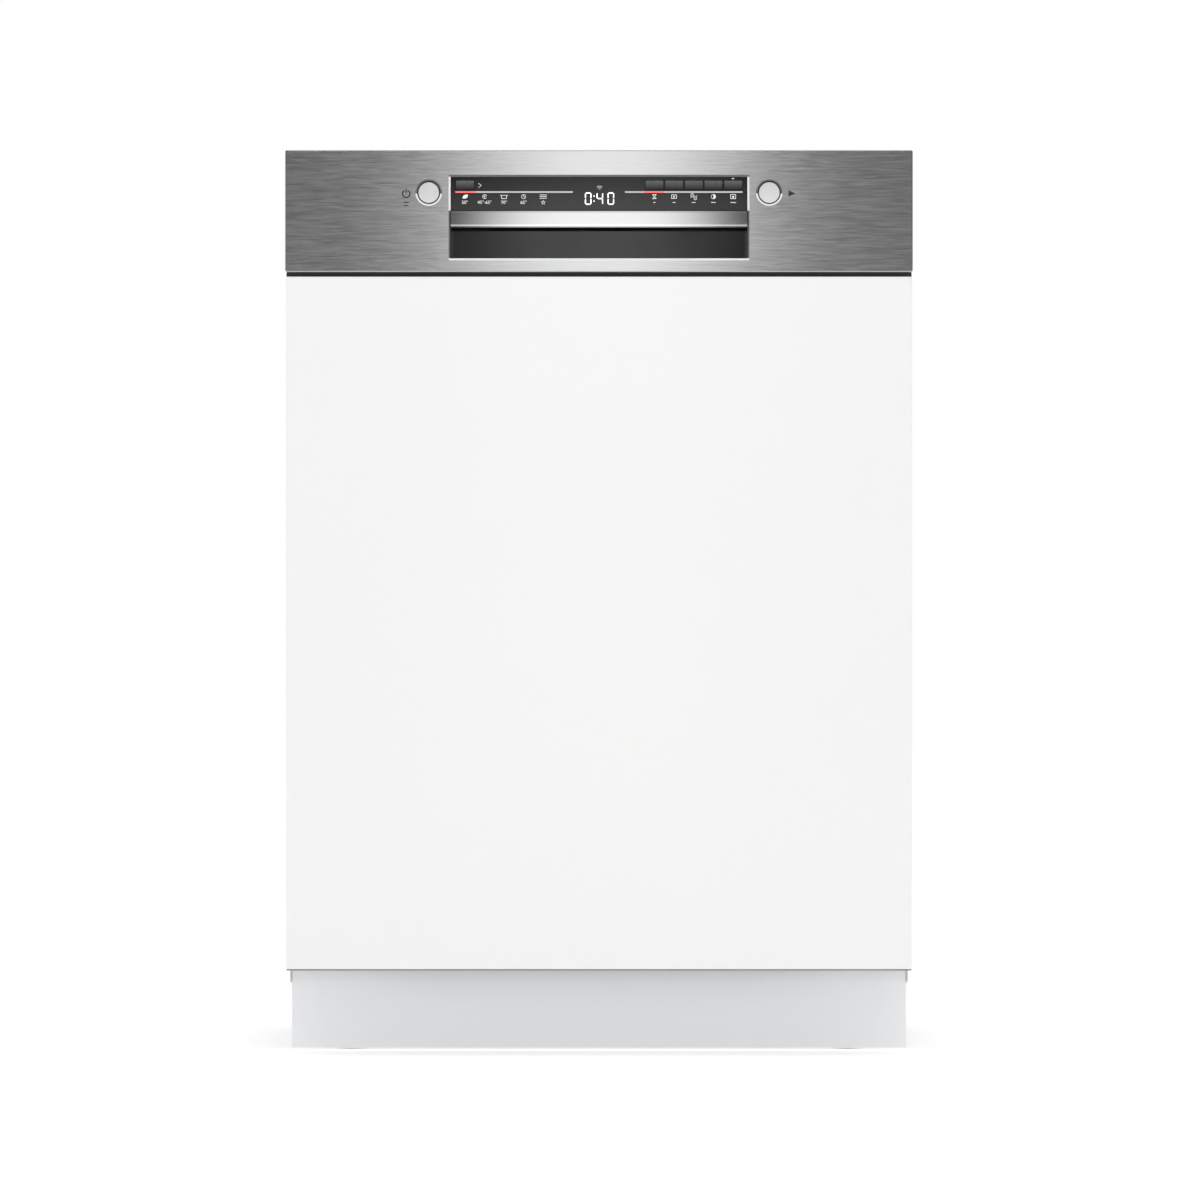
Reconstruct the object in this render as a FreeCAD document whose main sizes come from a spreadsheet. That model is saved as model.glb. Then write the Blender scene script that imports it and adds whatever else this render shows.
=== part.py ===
"""Built-in dishwasher, 598 mm wide, with a steel control fascia over a furniture panel.

Frame: X to the right seen from the front, -Y out of the front, +Z up, origin on the floor
under the middle of the machine.  Every size comes from the sheet "Sizes".  The door, the
buttons, the racks, the spray arms, the caps and the feet are separate pieces that can move.
"""
import FreeCAD, Part
import math
import os
import re
import Sketcher
from FreeCAD import Placement, Rotation, Vector

SIZES = {
    # whole machine
    "half_width": 299, "front_plane": -286.5, "rear_plane": 286.5, "total_height": 864,
    "skin": 1, "tub_sheet": 1.2, "running_gap": 0.3,
    # door hinge line
    "pivot_depth": -236, "pivot_height": 126, "pin_radius": 5, "pin_bore": 5.05,
    "bracket_inner": 274, "bracket_outer": 278, "arm_inner": 281, "arm_outer": 285,
    # control fascia
    "fascia_bottom": 747.7, "fascia_depth": 22,
    "recess_half_width": 144, "recess_bottom": 759, "recess_top": 840.5, "rim_slope": 2.6,
    "window_bottom": 806.2, "window_front": -284.2, "window_thick": 3,
    "bar_bottom": 790.3, "bar_back": -277, "bar_front": -287.5, "pocket_rear": -246,
    "carrier_half_width": 296, "carrier_bottom": 749, "carrier_top": 862.6, "carrier_wall": 2.5,
    # round buttons at the two ends of the window
    "round_button_side": 162.3, "round_button_height": 823.6, "round_button_radius": 9.9,
    "round_hole_radius": 11.6, "round_rim_radius": 12.2,
    # rectangular keys in the window
    "key_width": 17.4, "key_tall": 8.8, "key_gap": 0.3, "key_height": 830.8, "key_front": -284.9,
    "programme_key_side": -127.8, "first_option_side": 52.8, "key_pitch": 18.77,
    "board_half_width": 175, "board_front": -256, "board_thick": 1.6, "board_bottom": 816, "board_top": 856,
    "switch_front": -258, "switch_rear": -255, "switch_half": 3,
    # furniture panel and door pan
    "panel_half_width": 298.3, "panel_bottom": 82, "panel_top": 743.5,
    "panel_front": -286, "panel_rear": -267, "panel_rounding": 1,
    "pan_half_width": 296, "pan_bottom": 100, "pan_top": 747, "pan_front": -266.8, "pan_rear": -224,
    # inner door
    "liner_half_width": 288, "liner_bottom": 112, "liner_top": 862, "liner_front": -222.5,
    "track_inner": 240, "track_outer": 268, "track_face": -210, "track_bottom": 156, "track_top": 560,
    "door_notch": 268, "door_notch_top": 152, "screw_side": 276,
    "dispenser_half_width": 100, "dispenser_bottom": 388, "dispenser_top": 545,
    "dispenser_face": -210, "dispenser_back": -247, "dispenser_lip": 4.2,
    "chamber_left": -84, "chamber_right": -12, "chamber_bottom": 452, "chamber_top": 524,
    "rinse_side": 50, "rinse_height": 490, "rinse_radius": 20, "rinse_stem": 10,
    "lock_half_width": 40, "lock_front": -245, "lock_bottom": 846, "arm_top": 420,
    # tub
    "tub_half_width": 280, "tub_top": 849, "tub_front": -217, "tub_rear": 255, "tub_lower_edge": 150,
    "tub_rounding": 30, "flange_half_width": 297.5, "flange_top": 856,
    "floor_level": 138, "ledge_level": 153, "ledge_inner": 240, "sill_top": 150, "sill_front": -216.5,
    "gasket_outer": 294, "gasket_inner": 283, "gasket_top": 855.5, "gasket_inner_top": 850.5,
    "gasket_bottom": 155, "gasket_front": -221.2,
    "strike_half_width": 12, "strike_bottom": 856.5, "strike_top": 859, "strike_front": -240,
    "cross_front": -214, "cross_rear": -160, "cross_bottom": 851, "cross_top": 863,
    "mat_thick": 3, "exchanger_front": -180, "exchanger_rear": 200, "exchanger_bottom": 200,
    "exchanger_top": 800, "exchanger_side": 297, "exchanger_thick": 13.5,
    # base
    "tray_half_width": 298, "tray_front": -168, "tray_rear": 262, "tray_bottom": 62, "tray_wall": 3,
    "tray_front_top": 88, "side_panel_front": -215, "side_panel_bottom": 66, "side_panel_top": 850,
    "side_fold": 13,
    "plinth_half_width": 297, "plinth_front": -186.5, "plinth_bottom": 2, "plinth_top": 88,
    "foot_side": 240, "front_foot_depth": -140, "rear_foot_depth": 235,
    "foot_radius": 22, "foot_stem": 5, "foot_bore": 5.1, "foot_stem_top": 88,
    "bracket_front": -248, "bracket_rear": -150, "bracket_top": 140,
    "spring_side": 285.5, "spring_front": -204, "spring_height": 104,
    # hydraulics
    "spray_depth": 8, "tower_radius": 22, "tower_top": 158, "spigot_radius": 10,
    "well_side": 105, "well_depth": -20, "well_radius": 48, "well_bottom": 88, "filter_radius": 34.5,
    "softener_left": -215, "softener_right": -85, "softener_front": -20, "softener_rear": 140,
    "salt_side": -150, "salt_depth": 60, "salt_neck": 36, "salt_bore": 31,
    "tank_top": 134, "cap_level": 141,
    "pump_depth": 140, "pump_height": 100, "pump_radius": 34, "pump_left": -55, "volute_left": 40,
    "drain_side": 135, "drain_depth": 190, "drain_height": 96, "drain_spigot": 9.5, "drain_motor": 20,
    "inlet_side": -232, "inlet_height": 100, "inlet_thread": 13.2, "inlet_bore": 6,
    "valve_half": 18, "valve_front": 225, "valve_rear": 262,
    "cable_side": 200, "cable_height": 100, "cable_bore": 3.7, "gland_radius": 9,
    "terminal_half_width": 40, "terminal_front": 215, "terminal_rear": 255,
    "terminal_bottom": 70, "terminal_top": 126,
    "riser_front": 238, "riser_half_width": 12, "riser_top": 846,
    "top_head_radius": 45, "top_head_bottom": 832, "top_head_thick": 12,
    # racks
    "rod_thin": 2, "rod_thick": 2.5, "rod_step": 3.2,
    "rack_front": -187, "rack_rear": 222,
    "floor_rods_along": 11, "floor_rods_across": 13, "wall_uprights": 11, "wall_rails": 3,
    "lower_half_width": 245, "lower_level": 190, "lower_rim": 330,
    "upper_half_width": 250, "upper_level": 540, "upper_rim": 660,
    "wheel_radius": 20, "wheel_height": 173, "wheel_inner": 256, "wheel_outer": 268,
    "front_wheel_depth": -95, "rear_wheel_depth": 150, "axle_radius": 3,
    "tine_radius": 1.6, "tine_top": 285, "fold_side": 20, "fold_height": 200.2,
    "rail_low": 600, "rail_high": 628, "rail_front": -195, "rail_rear": 225,
    "rail_inner": 272, "rail_outer": 279.5, "runner_inner": 264.3, "runner_outer": 271.7,
    "rack_rail_outer": 264,
    "shelf_hinge_side": 235, "shelf_height": 640, "shelf_reach": 82, "shelf_half_length": 150,
    "lower_arm_reach": 222, "lower_arm_bottom": 161, "upper_arm_reach": 205, "upper_arm_bottom": 506,
    "arm_thick": 9, "arm_half_width": 17, "hub_radius": 24, "upper_spigot": 9,
    "basket_left": 165, "basket_right": 235, "basket_front": -150, "basket_rear": 60,
    "basket_bottom": 197, "basket_top": 300, "basket_wall": 2, "handle_rise": 40,
}

doc = FreeCAD.newDocument("Dishwasher")
sheet = doc.addObject("Spreadsheet::Sheet", "Sizes")
for row, (alias, number) in enumerate(SIZES.items(), start=1):
    sheet.set(f"A{row}", alias)
    sheet.set(f"B{row}", str(number))
    sheet.setAlias(f"B{row}", alias)
doc.recompute()

NODES = []
PLANE_ROLES = {"XY": "XY_Plane", "XZ": "XZ_Plane", "YZ": "YZ_Plane"}
ALONG = {"x": Rotation(Vector(0, 1, 0), 90), "y": Rotation(Vector(1, 0, 0), -90), "z": Rotation()}
OUTWARD = Rotation(Vector(1, 0, 0), 90)     # a turned piece whose top faces the front
INWARD = Rotation(Vector(1, 0, 0), -90)     # a turned piece whose top faces the tub


# ---------------------------------------------------------------- helpers

def bound(text):
    """An expression in which every alias is read from the sheet."""
    return re.sub(r"[A-Za-z_]\w*", lambda word: f"Sizes.{word.group()}" if word.group() in SIZES
                  else word.group(), str(text))


def place(item, point, rotation=None):
    """Put an object at a point given by three expressions."""
    item.Placement = Placement(Vector(), rotation or Rotation())
    for axis, text in zip("xyz", point):
        item.setExpression(f"Placement.Base.{axis}", bound(text))
    return item


def node(label, item):
    """Name a finished sub-part; the label names its file."""
    item.Label = label
    NODES.append(item)
    return item


def box(low, high):
    """A block between two corners."""
    item = place(doc.addObject("Part::Box", "Block"), low)
    for side, start, end in zip(("Length", "Width", "Height"), low, high):
        item.setExpression(side, bound(f"({end}) - ({start})"))
    return item


def cylinder(start, radius, length, along="z"):
    """A round bar from a point, along one axis."""
    item = place(doc.addObject("Part::Cylinder", "Bar"), start, ALONG[along])
    item.setExpression("Radius", bound(radius))
    item.setExpression("Height", bound(length))
    return item


def join(*items):
    """One solid from several that touch or overlap."""
    if len(items) == 1:
        return items[0]
    item = doc.addObject("Part::MultiFuse", "Join")
    item.Shapes = list(items)
    return item


def cut(base, *tools):
    """The base with every tool taken away."""
    item = doc.addObject("Part::Cut", "Cut")
    item.Base = base
    item.Tool = join(*tools)
    return item


def group(*items):
    """Several separate solids in one node."""
    item = doc.addObject("Part::Compound", "Group")
    item.Links = list(items)
    return item


def span(side, near, far):
    """The X range of a piece on the right (side 1) or mirrored to the left (side -1)."""
    return (near, far) if side > 0 else (f"-({far})", f"-({near})")


def new_body(name):
    return doc.addObject("PartDesign::Body", name)


def sketch(body, plane, corners, offset="0", holes=()):
    """A closed polygon, and round holes, on one of the body's own origin planes."""
    item = body.newObject("Sketcher::SketchObject", "Outline")
    role = PLANE_ROLES[plane]
    item.AttachmentSupport = (next(f for f in body.Origin.OriginFeatures if f.Role == role), [""])
    item.MapMode = "FlatFace"
    item.setExpression("AttachmentOffset.Base.z", bound(offset))
    count = len(corners)
    ring = [Vector(10 * math.cos(math.tau * n / count), 10 * math.sin(math.tau * n / count), 0)
            for n in range(count)]
    for n in range(count):
        item.addGeometry(Part.LineSegment(ring[n], ring[(n + 1) % count]), False)
    for n in range(count):
        item.addConstraint(Sketcher.Constraint("Coincident", n, 2, (n + 1) % count, 1))
    for n, corner in enumerate(corners):
        pin_point(item, n, 1, corner)
    for across, up, radius in holes:
        hole = item.addGeometry(Part.Circle(Vector(), Vector(0, 0, 1), 5), False)
        pin_point(item, hole, 3, (across, up))
        number = item.addConstraint(Sketcher.Constraint("Radius", hole, 5.0))
        item.setExpression(f"Constraints[{number}]", bound(radius))
    return item


def pin_point(item, geometry, point, position):
    """Tie a sketch point to two expressions measured from the sketch's origin."""
    for kind, text in zip(("DistanceX", "DistanceY"), position):
        number = item.addConstraint(Sketcher.Constraint(kind, -1, 1, geometry, point, 1.0))
        item.setExpression(f"Constraints[{number}]", bound(text))


def rectangle(left, low, right, high):
    return [(left, low), (right, low), (right, high), (left, high)]


def pad(body, profile, length):
    item = body.newObject("PartDesign::Pad", "Pad")
    item.Profile = profile
    item.setExpression("Length", bound(length))
    return body


def pocket(body, profile, length, reverse=False):
    item = body.newObject("PartDesign::Pocket", "Pocket")
    item.Profile = profile
    item.Reversed = reverse
    item.setExpression("Length", bound(length))
    doc.recompute()
    if not item.Shape.Volume < item.BaseFeature.Shape.Volume - 1:
        raise RuntimeError(f"{body.Name}: the pocket removes nothing")
    return body


def rounded(body, radius, chosen):
    """Fillet the edges whose bounding box passes the test."""
    doc.recompute()
    base = body.Tip
    edges = [f"Edge{n}" for n, edge in enumerate(base.Shape.Edges, start=1) if chosen(edge.BoundBox)]
    item = body.newObject("PartDesign::Fillet", "Round")
    item.Base = (base, edges)
    item.setExpression("Radius", bound(radius))
    return body


def turned(name, outline, point, rotation=None):
    """A piece turned about its own Z: the outline is (radius, height) pairs."""
    body = new_body(name)
    feature = body.newObject("PartDesign::Revolution", "Turn")
    profile = sketch(body, "XZ", outline)
    feature.Profile = profile
    feature.ReferenceAxis = (profile, ["V_Axis"])
    feature.Angle = 360
    body.Tip = feature
    return place(body, point, rotation)


def slab(name, plane, corners, start, length, holes=()):
    """A flat piece padded from one plane; start and length run along the plane's normal."""
    body = new_body(name)
    return pad(body, sketch(body, plane, corners, start, holes), length)


# ---------------------------------------------------------------- door, outside

def fascia_panel():
    """Bent steel front with returns, a sloped collar round the recess and two button holes."""
    shell = cut(box(("-half_width", "front_plane", "fascia_bottom"),
                    ("half_width", "front_plane + fascia_depth", "total_height")),
                box(("-half_width + skin", "front_plane + skin", "fascia_bottom + skin"),
                    ("half_width - skin", "front_plane + fascia_depth + 1", "total_height - skin")))
    opening = doc.addObject("Part::Wedge", "RecessOpening")
    for end, slope, depth in (("Xmin", 0, "front_plane - 0.01"), ("X2min", 1, "front_plane + skin + 0.01")):
        width = f"recess_half_width - {slope} * rim_slope"
        bottom = f"recess_bottom + {slope} * rim_slope"
        top = f"recess_top - {slope} * rim_slope"
        opening.setExpression(end, bound(f"-({width})"))
        opening.setExpression(end.replace("min", "max"), bound(width))
        opening.setExpression(end.replace("X", "Z"), bound(bottom))
        opening.setExpression(end.replace("X", "Z").replace("min", "max"), bound(top))
        opening.setExpression("Ymin" if slope == 0 else "Ymax", bound(depth))
    holes = []
    for side in (-1, 1):
        hole = doc.addObject("Part::Cone", "ButtonRecess")
        place(hole, (f"{side} * round_button_side", "front_plane - 0.01", "round_button_height"),
              ALONG["y"])
        hole.setExpression("Radius1", bound("round_rim_radius"))
        hole.setExpression("Radius2", bound("round_hole_radius"))
        hole.setExpression("Height", bound("skin + 0.02"))
        holes.append(hole)
    node("fascia_panel", cut(shell, opening, *holes))


def fascia_carrier():
    """Black moulding behind the fascia: grip pocket, window seat and the board's posts."""
    inner = "recess_half_width - rim_slope"
    shell = cut(box(("-carrier_half_width", "front_plane + skin", "carrier_bottom"),
                    ("carrier_half_width", "pan_rear", "carrier_top")),
                box(("-carrier_half_width + carrier_wall", "front_plane + skin + carrier_wall",
                     "carrier_bottom + carrier_wall"),
                    ("carrier_half_width - carrier_wall", "pan_rear + 1", "carrier_top - carrier_wall")))
    housing = box(("-recess_half_width", "front_plane + skin", "carrier_bottom + carrier_wall"),
                  ("recess_half_width", "pocket_rear + carrier_wall", "window_bottom + 8.3"))
    posts = [cylinder((f"{side} * 120", "front_plane + skin", "849"), 3, "30.5 - skin", "y")
             for side in (-1, 1)]
    front = "front_plane + skin - 1"
    cuts = [
        box((f"-({inner})", front, "recess_bottom + rim_slope"), (inner, "pocket_rear", "bar_bottom")),
        box((f"-({inner})", "bar_back", "bar_bottom - 1"), (inner, "pocket_rear", "window_bottom + 5.8")),
        box((f"-({inner})", front, "bar_bottom - 1"), (inner, "bar_back + 1", "window_bottom")),
        box((f"-({inner})", front, "window_bottom - 1"),
            (inner, "window_front + window_thick", "recess_top - rim_slope + 1")),
        box(("-42", "-250", "845"), ("42", "pan_rear + 1", "carrier_top + 1")),
    ]
    for side in (-1, 1):
        cuts.append(cylinder((f"{side} * round_button_side", front, "round_button_height"),
                             "round_hole_radius", "carrier_wall + 2", "y"))
    node("fascia_carrier", cut(join(shell, housing, *posts), *cuts))


def key_sides():
    """X positions of the programme key and the five option keys."""
    return ["programme_key_side"] + [f"first_option_side + {n} * key_pitch" for n in range(5)]


def display_window():
    """Gloss black window plate with an opening for each key."""
    plate = box(("-recess_half_width + rim_slope + 0.2", "window_front", "window_bottom"),
                ("recess_half_width - rim_slope - 0.2", "window_front + window_thick",
                 "recess_top - rim_slope + 0.7"))
    holes = []
    for side in key_sides():
        half = "(key_width / 2 + key_gap)"
        tall = "(key_tall / 2 + key_gap)"
        holes.append(box((f"{side} - {half}", "window_front - 1", f"key_height - {tall}"),
                         (f"{side} + {half}", "window_front + window_thick + 1", f"key_height + {tall}")))
    node("display_window", cut(plate, *holes))


def handle_bar():
    """Pull bar across the recess, crowned at the front."""
    inner = "recess_half_width - rim_slope"
    profile = [("bar_back", "bar_bottom"), ("bar_front", "bar_bottom"),
               ("bar_front", "window_bottom - 0.2"), ("bar_back", "window_bottom - 0.2")]
    body = slab("HandleBar", "YZ", profile, f"-({inner})", f"2 * ({inner})")
    rounded(body, 4.5, lambda edge: edge.XLength > 100 and edge.YMax < -285)
    node("handle_bar", body)


def round_button(label, side):
    """Domed push button with a retaining flange and a stem to its switch."""
    outline = [("0", "-24.5"), ("4", "-24.5"), ("4", "-5.9"), ("round_hole_radius + 1.2", "-5.9"),
               ("round_hole_radius + 1.2", "-3.9"), ("round_button_radius", "-3.9"),
               ("round_button_radius", "-0.4"), ("round_button_radius - 0.8", "0.3"),
               ("round_button_radius / 2", "0.9"), ("0", "1.1")]
    node(label, turned("RoundButton", outline,
                       (f"{side} * round_button_side", "front_plane", "round_button_height"), OUTWARD))


def key(label, side):
    """Flat rectangular key with a flange behind the window and a square stem."""
    body = new_body("Key")
    flange_front = "-(window_front + window_thick + running_gap)"
    layers = [("key_width / 2", "key_tall / 2", f"{flange_front} - 1", "-key_front"),
              ("key_width / 2 + 0.5", "key_tall / 2 + 0.9", f"{flange_front} - 1", flange_front),
              ("2", "2", "260", f"{flange_front} - 1")]
    for half, tall, start, end in layers:
        corners = rectangle(f"-({half})", f"-({tall})", half, tall)
        pad(body, sketch(body, "XZ", corners, start), f"({end}) - ({start})")
    node(label, place(body, (side, "0", "key_height")))


def furniture_panel():
    """Lacquered furniture board with softened front edges."""
    body = slab("FurniturePanel", "XZ",
                rectangle("-panel_half_width", "panel_bottom", "panel_half_width", "panel_top"),
                "-panel_rear", "panel_rear - panel_front")
    rounded(body, "panel_rounding", lambda edge: edge.YMax < -285.9)
    node("furniture_panel", body)


def outer_door_sheet():
    """Steel door pan, open to the rear, with its lower flange notched at the hinges."""
    body = slab("OuterDoorSheet", "XZ",
                rectangle("-pan_half_width", "pan_bottom", "pan_half_width", "pan_top"),
                "-pan_rear", "pan_rear - pan_front")
    inside = rectangle("-pan_half_width + skin", "pan_bottom + skin", "pan_half_width - skin",
                       "pan_top - skin")
    pocket(body, sketch(body, "XZ", inside, "-pan_rear"), "pan_rear - pan_front - skin", reverse=True)
    strip = rectangle("-pan_half_width + 2", "pan_bottom - 1",
                      "pan_half_width - 2", "pan_bottom + skin + 0.5")
    pocket(body, sketch(body, "XZ", strip, "-pan_rear"), "8", reverse=True)
    for side in (-1, 1):
        left, right = span(side, "door_notch + 2", "pan_half_width - 6")
        notch = rectangle(left, "pan_bottom - 1", right, "pan_bottom + skin + 1")
        pocket(body, sketch(body, "XZ", notch, "-pan_rear"), "38", reverse=True)
    node("outer_door_sheet", body)


# ---------------------------------------------------------------- door, inside

def screw_places():
    return [(side, height) for side in (-1, 1) for height in (190, 360, 640, 800)]


def inner_door_liner():
    """Stainless inner door with two raised tracks for the lower rack's wheels."""
    rear = "liner_front + skin"
    plate = box(("-liner_half_width", "liner_front", "liner_bottom"),
                ("liner_half_width", rear, "liner_top"))
    tracks, hollows = [], []
    for side in (-1, 1):
        left, right = span(side, "track_inner", "track_outer")
        tracks.append(box((left, "liner_front", "track_bottom"), (right, "track_face", "track_top")))
        left, right = span(side, "track_inner + skin", "track_outer - skin")
        hollows.append(box((left, "liner_front - 1", "track_bottom + skin"),
                           (right, "track_face - skin", "track_top - skin")))
        left, right = span(side, "door_notch", "liner_half_width + 1")
        hollows.append(box((left, "liner_front - 1", "liner_bottom - 1"),
                           (right, f"{rear} + 1", "door_notch_top")))
    lip = "dispenser_lip"
    hollows.append(box((f"-dispenser_half_width + {lip}", "liner_front - 1", f"dispenser_bottom + {lip}"),
                       (f"dispenser_half_width - {lip}", f"{rear} + 1", f"dispenser_top - {lip}")))
    hollows.append(box(("-strike_half_width - 4", "liner_front - 1", "strike_bottom - 1.5"),
                       ("strike_half_width + 4", f"{rear} + 1", "liner_top + 1")))
    for side, height in screw_places():
        hollows.append(cylinder((f"{side} * screw_side", "liner_front - 1", height), 2.1, 3, "y"))
    node("inner_door_liner", cut(join(plate, *tracks), *hollows))


def door_screws():
    """Eight pan-head screws that hold the inner door."""
    outline = [("0", "-9"), ("2", "-9"), ("2", "0"), ("4.2", "0"), ("3.6", "1.1"), ("0", "1.6")]
    screws = [turned("Screw", outline, (f"{side} * screw_side", "liner_front + skin", height), INWARD)
              for side, height in screw_places()]
    node("door_screws", group(*screws))


def detergent_dispenser():
    """Moulded dispenser with an open chamber, a rinse aid filler and rails for the lid."""
    lip = "dispenser_lip"
    back = box((f"-dispenser_half_width + {lip} + 0.2", "dispenser_back",
                f"dispenser_bottom + {lip} + 0.2"),
               (f"dispenser_half_width - {lip} - 0.2", "-221", f"dispenser_top - {lip} - 0.2"))
    face = box(("-dispenser_half_width", "liner_front + skin", "dispenser_bottom"),
               ("dispenser_half_width", "dispenser_face", "dispenser_top"))
    rails = [box((left, "dispenser_face - 1", "dispenser_bottom + 6"),
                 (f"{left} + 2.4", "dispenser_face + 4.5", "dispenser_top - 4"))
             for left in ("chamber_left - 5.3", "chamber_right + 2.9")]
    chamber = box(("chamber_left", "dispenser_back + 6", "chamber_bottom"),
                  ("chamber_right", "dispenser_face + 1", "chamber_top"))
    filler = cylinder(("rinse_side", "dispenser_back + 12", "rinse_height"), "rinse_stem + 0.4", "40", "y")
    node("detergent_dispenser", cut(join(back, face, *rails), chamber, filler))


def detergent_lid():
    """Sliding lid with a thumb ridge."""
    body = new_body("DetergentLid")
    face = "-(dispenser_face + running_gap)"
    left = "chamber_left - 2.6"
    right = "chamber_right + 2.6"
    corners = rectangle(left, "chamber_bottom - 4", right, "chamber_top + 6")
    pad(body, sketch(body, "XZ", corners, f"{face} - 3"), "3")
    ridge = rectangle("chamber_left + 20", "chamber_top - 14", "chamber_right - 20", "chamber_top - 8")
    pad(body, sketch(body, "XZ", ridge, f"{face} - 5.5"), "3")
    rounded(body, 1.2, lambda edge: edge.YLength < 3.2 and edge.YLength > 2.8)
    node("detergent_lid", body)


def rinse_aid_cap():
    """Turning cap of the rinse aid filler with a grip bar across it."""
    body = turned("RinseCap", [("0", "-18"), ("rinse_stem", "-18"), ("rinse_stem", "running_gap"),
                               ("rinse_radius", "running_gap"), ("rinse_radius", "4.4"),
                               ("rinse_radius - 1", "5.4"), ("0", "5.4")],
                  ("rinse_side", "dispenser_face", "rinse_height"), INWARD)
    pad(body, sketch(body, "XY", rectangle("-3", "-15", "3", "15"), "5"), "6")
    node("rinse_aid_cap", body)


def control_board():
    """Circuit board with its display block and one switch behind each button."""
    parts = [box(("-board_half_width", "board_front", "board_bottom"),
                 ("board_half_width", "board_front + board_thick", "board_top")),
             box(("-28", "-281", "816.4"), ("28", "switch_rear", "828"))]
    for side in key_sides():
        parts.append(box((f"{side} - switch_half", "switch_front", "key_height - switch_half"),
                         (f"{side} + switch_half", "switch_rear", "key_height + switch_half")))
    for side in (-1, 1):
        middle = f"{side} * round_button_side"
        parts.append(box((f"{middle} - switch_half", "switch_front", "round_button_height - switch_half"),
                         (f"{middle} + switch_half", "switch_rear", "round_button_height + switch_half")))
    node("control_board", join(*parts))


def door_lock():
    """Lock housing at the top of the door; its slot takes the strike."""
    housing = box(("-lock_half_width", "lock_front", "lock_bottom"),
                  ("lock_half_width", "liner_front - 0.2", "liner_top"))
    slot = box(("-strike_half_width - 2", "-241.5", "strike_bottom - 0.8"),
               ("strike_half_width + 2", "liner_front + 1", "strike_top + 0.8"))
    node("door_lock", cut(housing, slot))


def door_hinge_arms():
    """Two hinge plates inside the door; a lobe below each bore pushes the spring."""
    outline = [("-262", "arm_top"), ("-230", "arm_top"), ("-230", "150"), ("-223", "140"), ("-222", "118"),
               ("-220", "98"), ("-231", "95"), ("-246", "110"), ("-250", "130"), ("-262", "160")]
    arms = []
    for side in (-1, 1):
        start = span(side, "arm_inner", "arm_outer")[0]
        body = slab("HingeArm", "YZ", outline, start, "arm_outer - arm_inner",
                    holes=[("pivot_depth", "pivot_height", "pin_bore")])
        arms.append(body)
    node("door_hinge_arms", group(*arms))


# ---------------------------------------------------------------- cabinet and tub

def arch(half, top, low):
    """Corners of a door-shaped outline, open at the bottom when used twice."""
    return [(f"-({half})", low), (f"-({half})", top), (half, top), (half, low)]


def arch_band(outer_half, outer_top, inner_half, inner_top, low):
    """An inverted U between two arches."""
    return arch(outer_half, outer_top, low) + arch(inner_half, inner_top, low)[::-1]


def tub_shell():
    """Stainless wrapper that makes the tub's sides and top, with a flange at the front."""
    body = slab("TubShell", "XZ",
                arch_band("tub_half_width + tub_sheet", "tub_top + tub_sheet", "tub_half_width",
                          "tub_top", "tub_lower_edge"),
                "-tub_rear", "tub_rear - tub_front")
    rounded(body, "tub_rounding", lambda edge: edge.YLength > 400 and 848 < edge.ZMin < 849.5)
    rounded(body, "tub_rounding + tub_sheet", lambda edge: edge.YLength > 400 and edge.ZMin > 849.9)
    pad(body, sketch(body, "XZ", arch_band("flange_half_width", "flange_top", "tub_half_width + 0.6",
                                           "tub_top + 0.6", "tub_lower_edge"),
                     "-tub_front - tub_sheet"), "tub_sheet")
    node("tub_shell", body)


def tub_rear_wall():
    body = slab("TubRearWall", "XZ",
                rectangle("-tub_half_width - tub_sheet", "floor_level - tub_sheet",
                          "tub_half_width + tub_sheet", "tub_top + tub_sheet"),
                "-tub_rear - tub_sheet", "tub_sheet")
    rounded(body, "tub_rounding + tub_sheet", lambda edge: edge.XLength < 1 and edge.ZMin > 800)
    node("tub_rear_wall", body)


def tub_floor():
    """Pressed tub bottom: side ledges carry the rack wheels; a sill closes the front."""
    low = "floor_level - tub_sheet"
    ledge = "ledge_level - tub_sheet"
    edge = "tub_half_width - 0.2"
    section = [(f"-({edge})", "ledge_level"), ("-ledge_inner", "ledge_level"),
               ("-ledge_inner", "floor_level"), ("ledge_inner", "floor_level"),
               ("ledge_inner", "ledge_level"), (edge, "ledge_level"),
               (edge, ledge), ("ledge_inner + tub_sheet", ledge), ("ledge_inner + tub_sheet", low),
               ("-ledge_inner - tub_sheet", low), ("-ledge_inner - tub_sheet", ledge),
               (f"-({edge})", ledge)]
    body = slab("TubFloor", "XZ", section, "-tub_rear + 0.2", "tub_rear - 0.2 - sill_front")
    sill = rectangle("-ledge_inner - 0.6", low, "ledge_inner + 0.6", "sill_top")
    pad(body, sketch(body, "XZ", sill, "-sill_front - 12"), "12")
    doc.recompute()
    openings = [("0", "spray_depth", "tower_radius + 0.5"), ("well_side", "well_depth", "well_radius - 3"),
                ("salt_side", "salt_depth", "salt_neck + 0.5")]
    for across, deep, radius in openings:
        drill(body, (across, deep), "floor_level + 1", radius, "3")
    node("tub_floor", body)


def drill(body, middle, level, radius, depth):
    """A round hole straight down from a level."""
    item = body.newObject("Sketcher::SketchObject", "Hole")
    item.AttachmentSupport = (next(f for f in body.Origin.OriginFeatures if f.Role == "XY_Plane"), [""])
    item.MapMode = "FlatFace"
    item.setExpression("AttachmentOffset.Base.z", bound(level))
    item.addGeometry(Part.Circle(Vector(), Vector(0, 0, 1), 5), False)
    pin_point(item, 0, 3, middle)
    number = item.addConstraint(Sketcher.Constraint("Radius", 0, 5.0))
    item.setExpression(f"Constraints[{number}]", bound(radius))
    pocket(body, item, depth)


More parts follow.
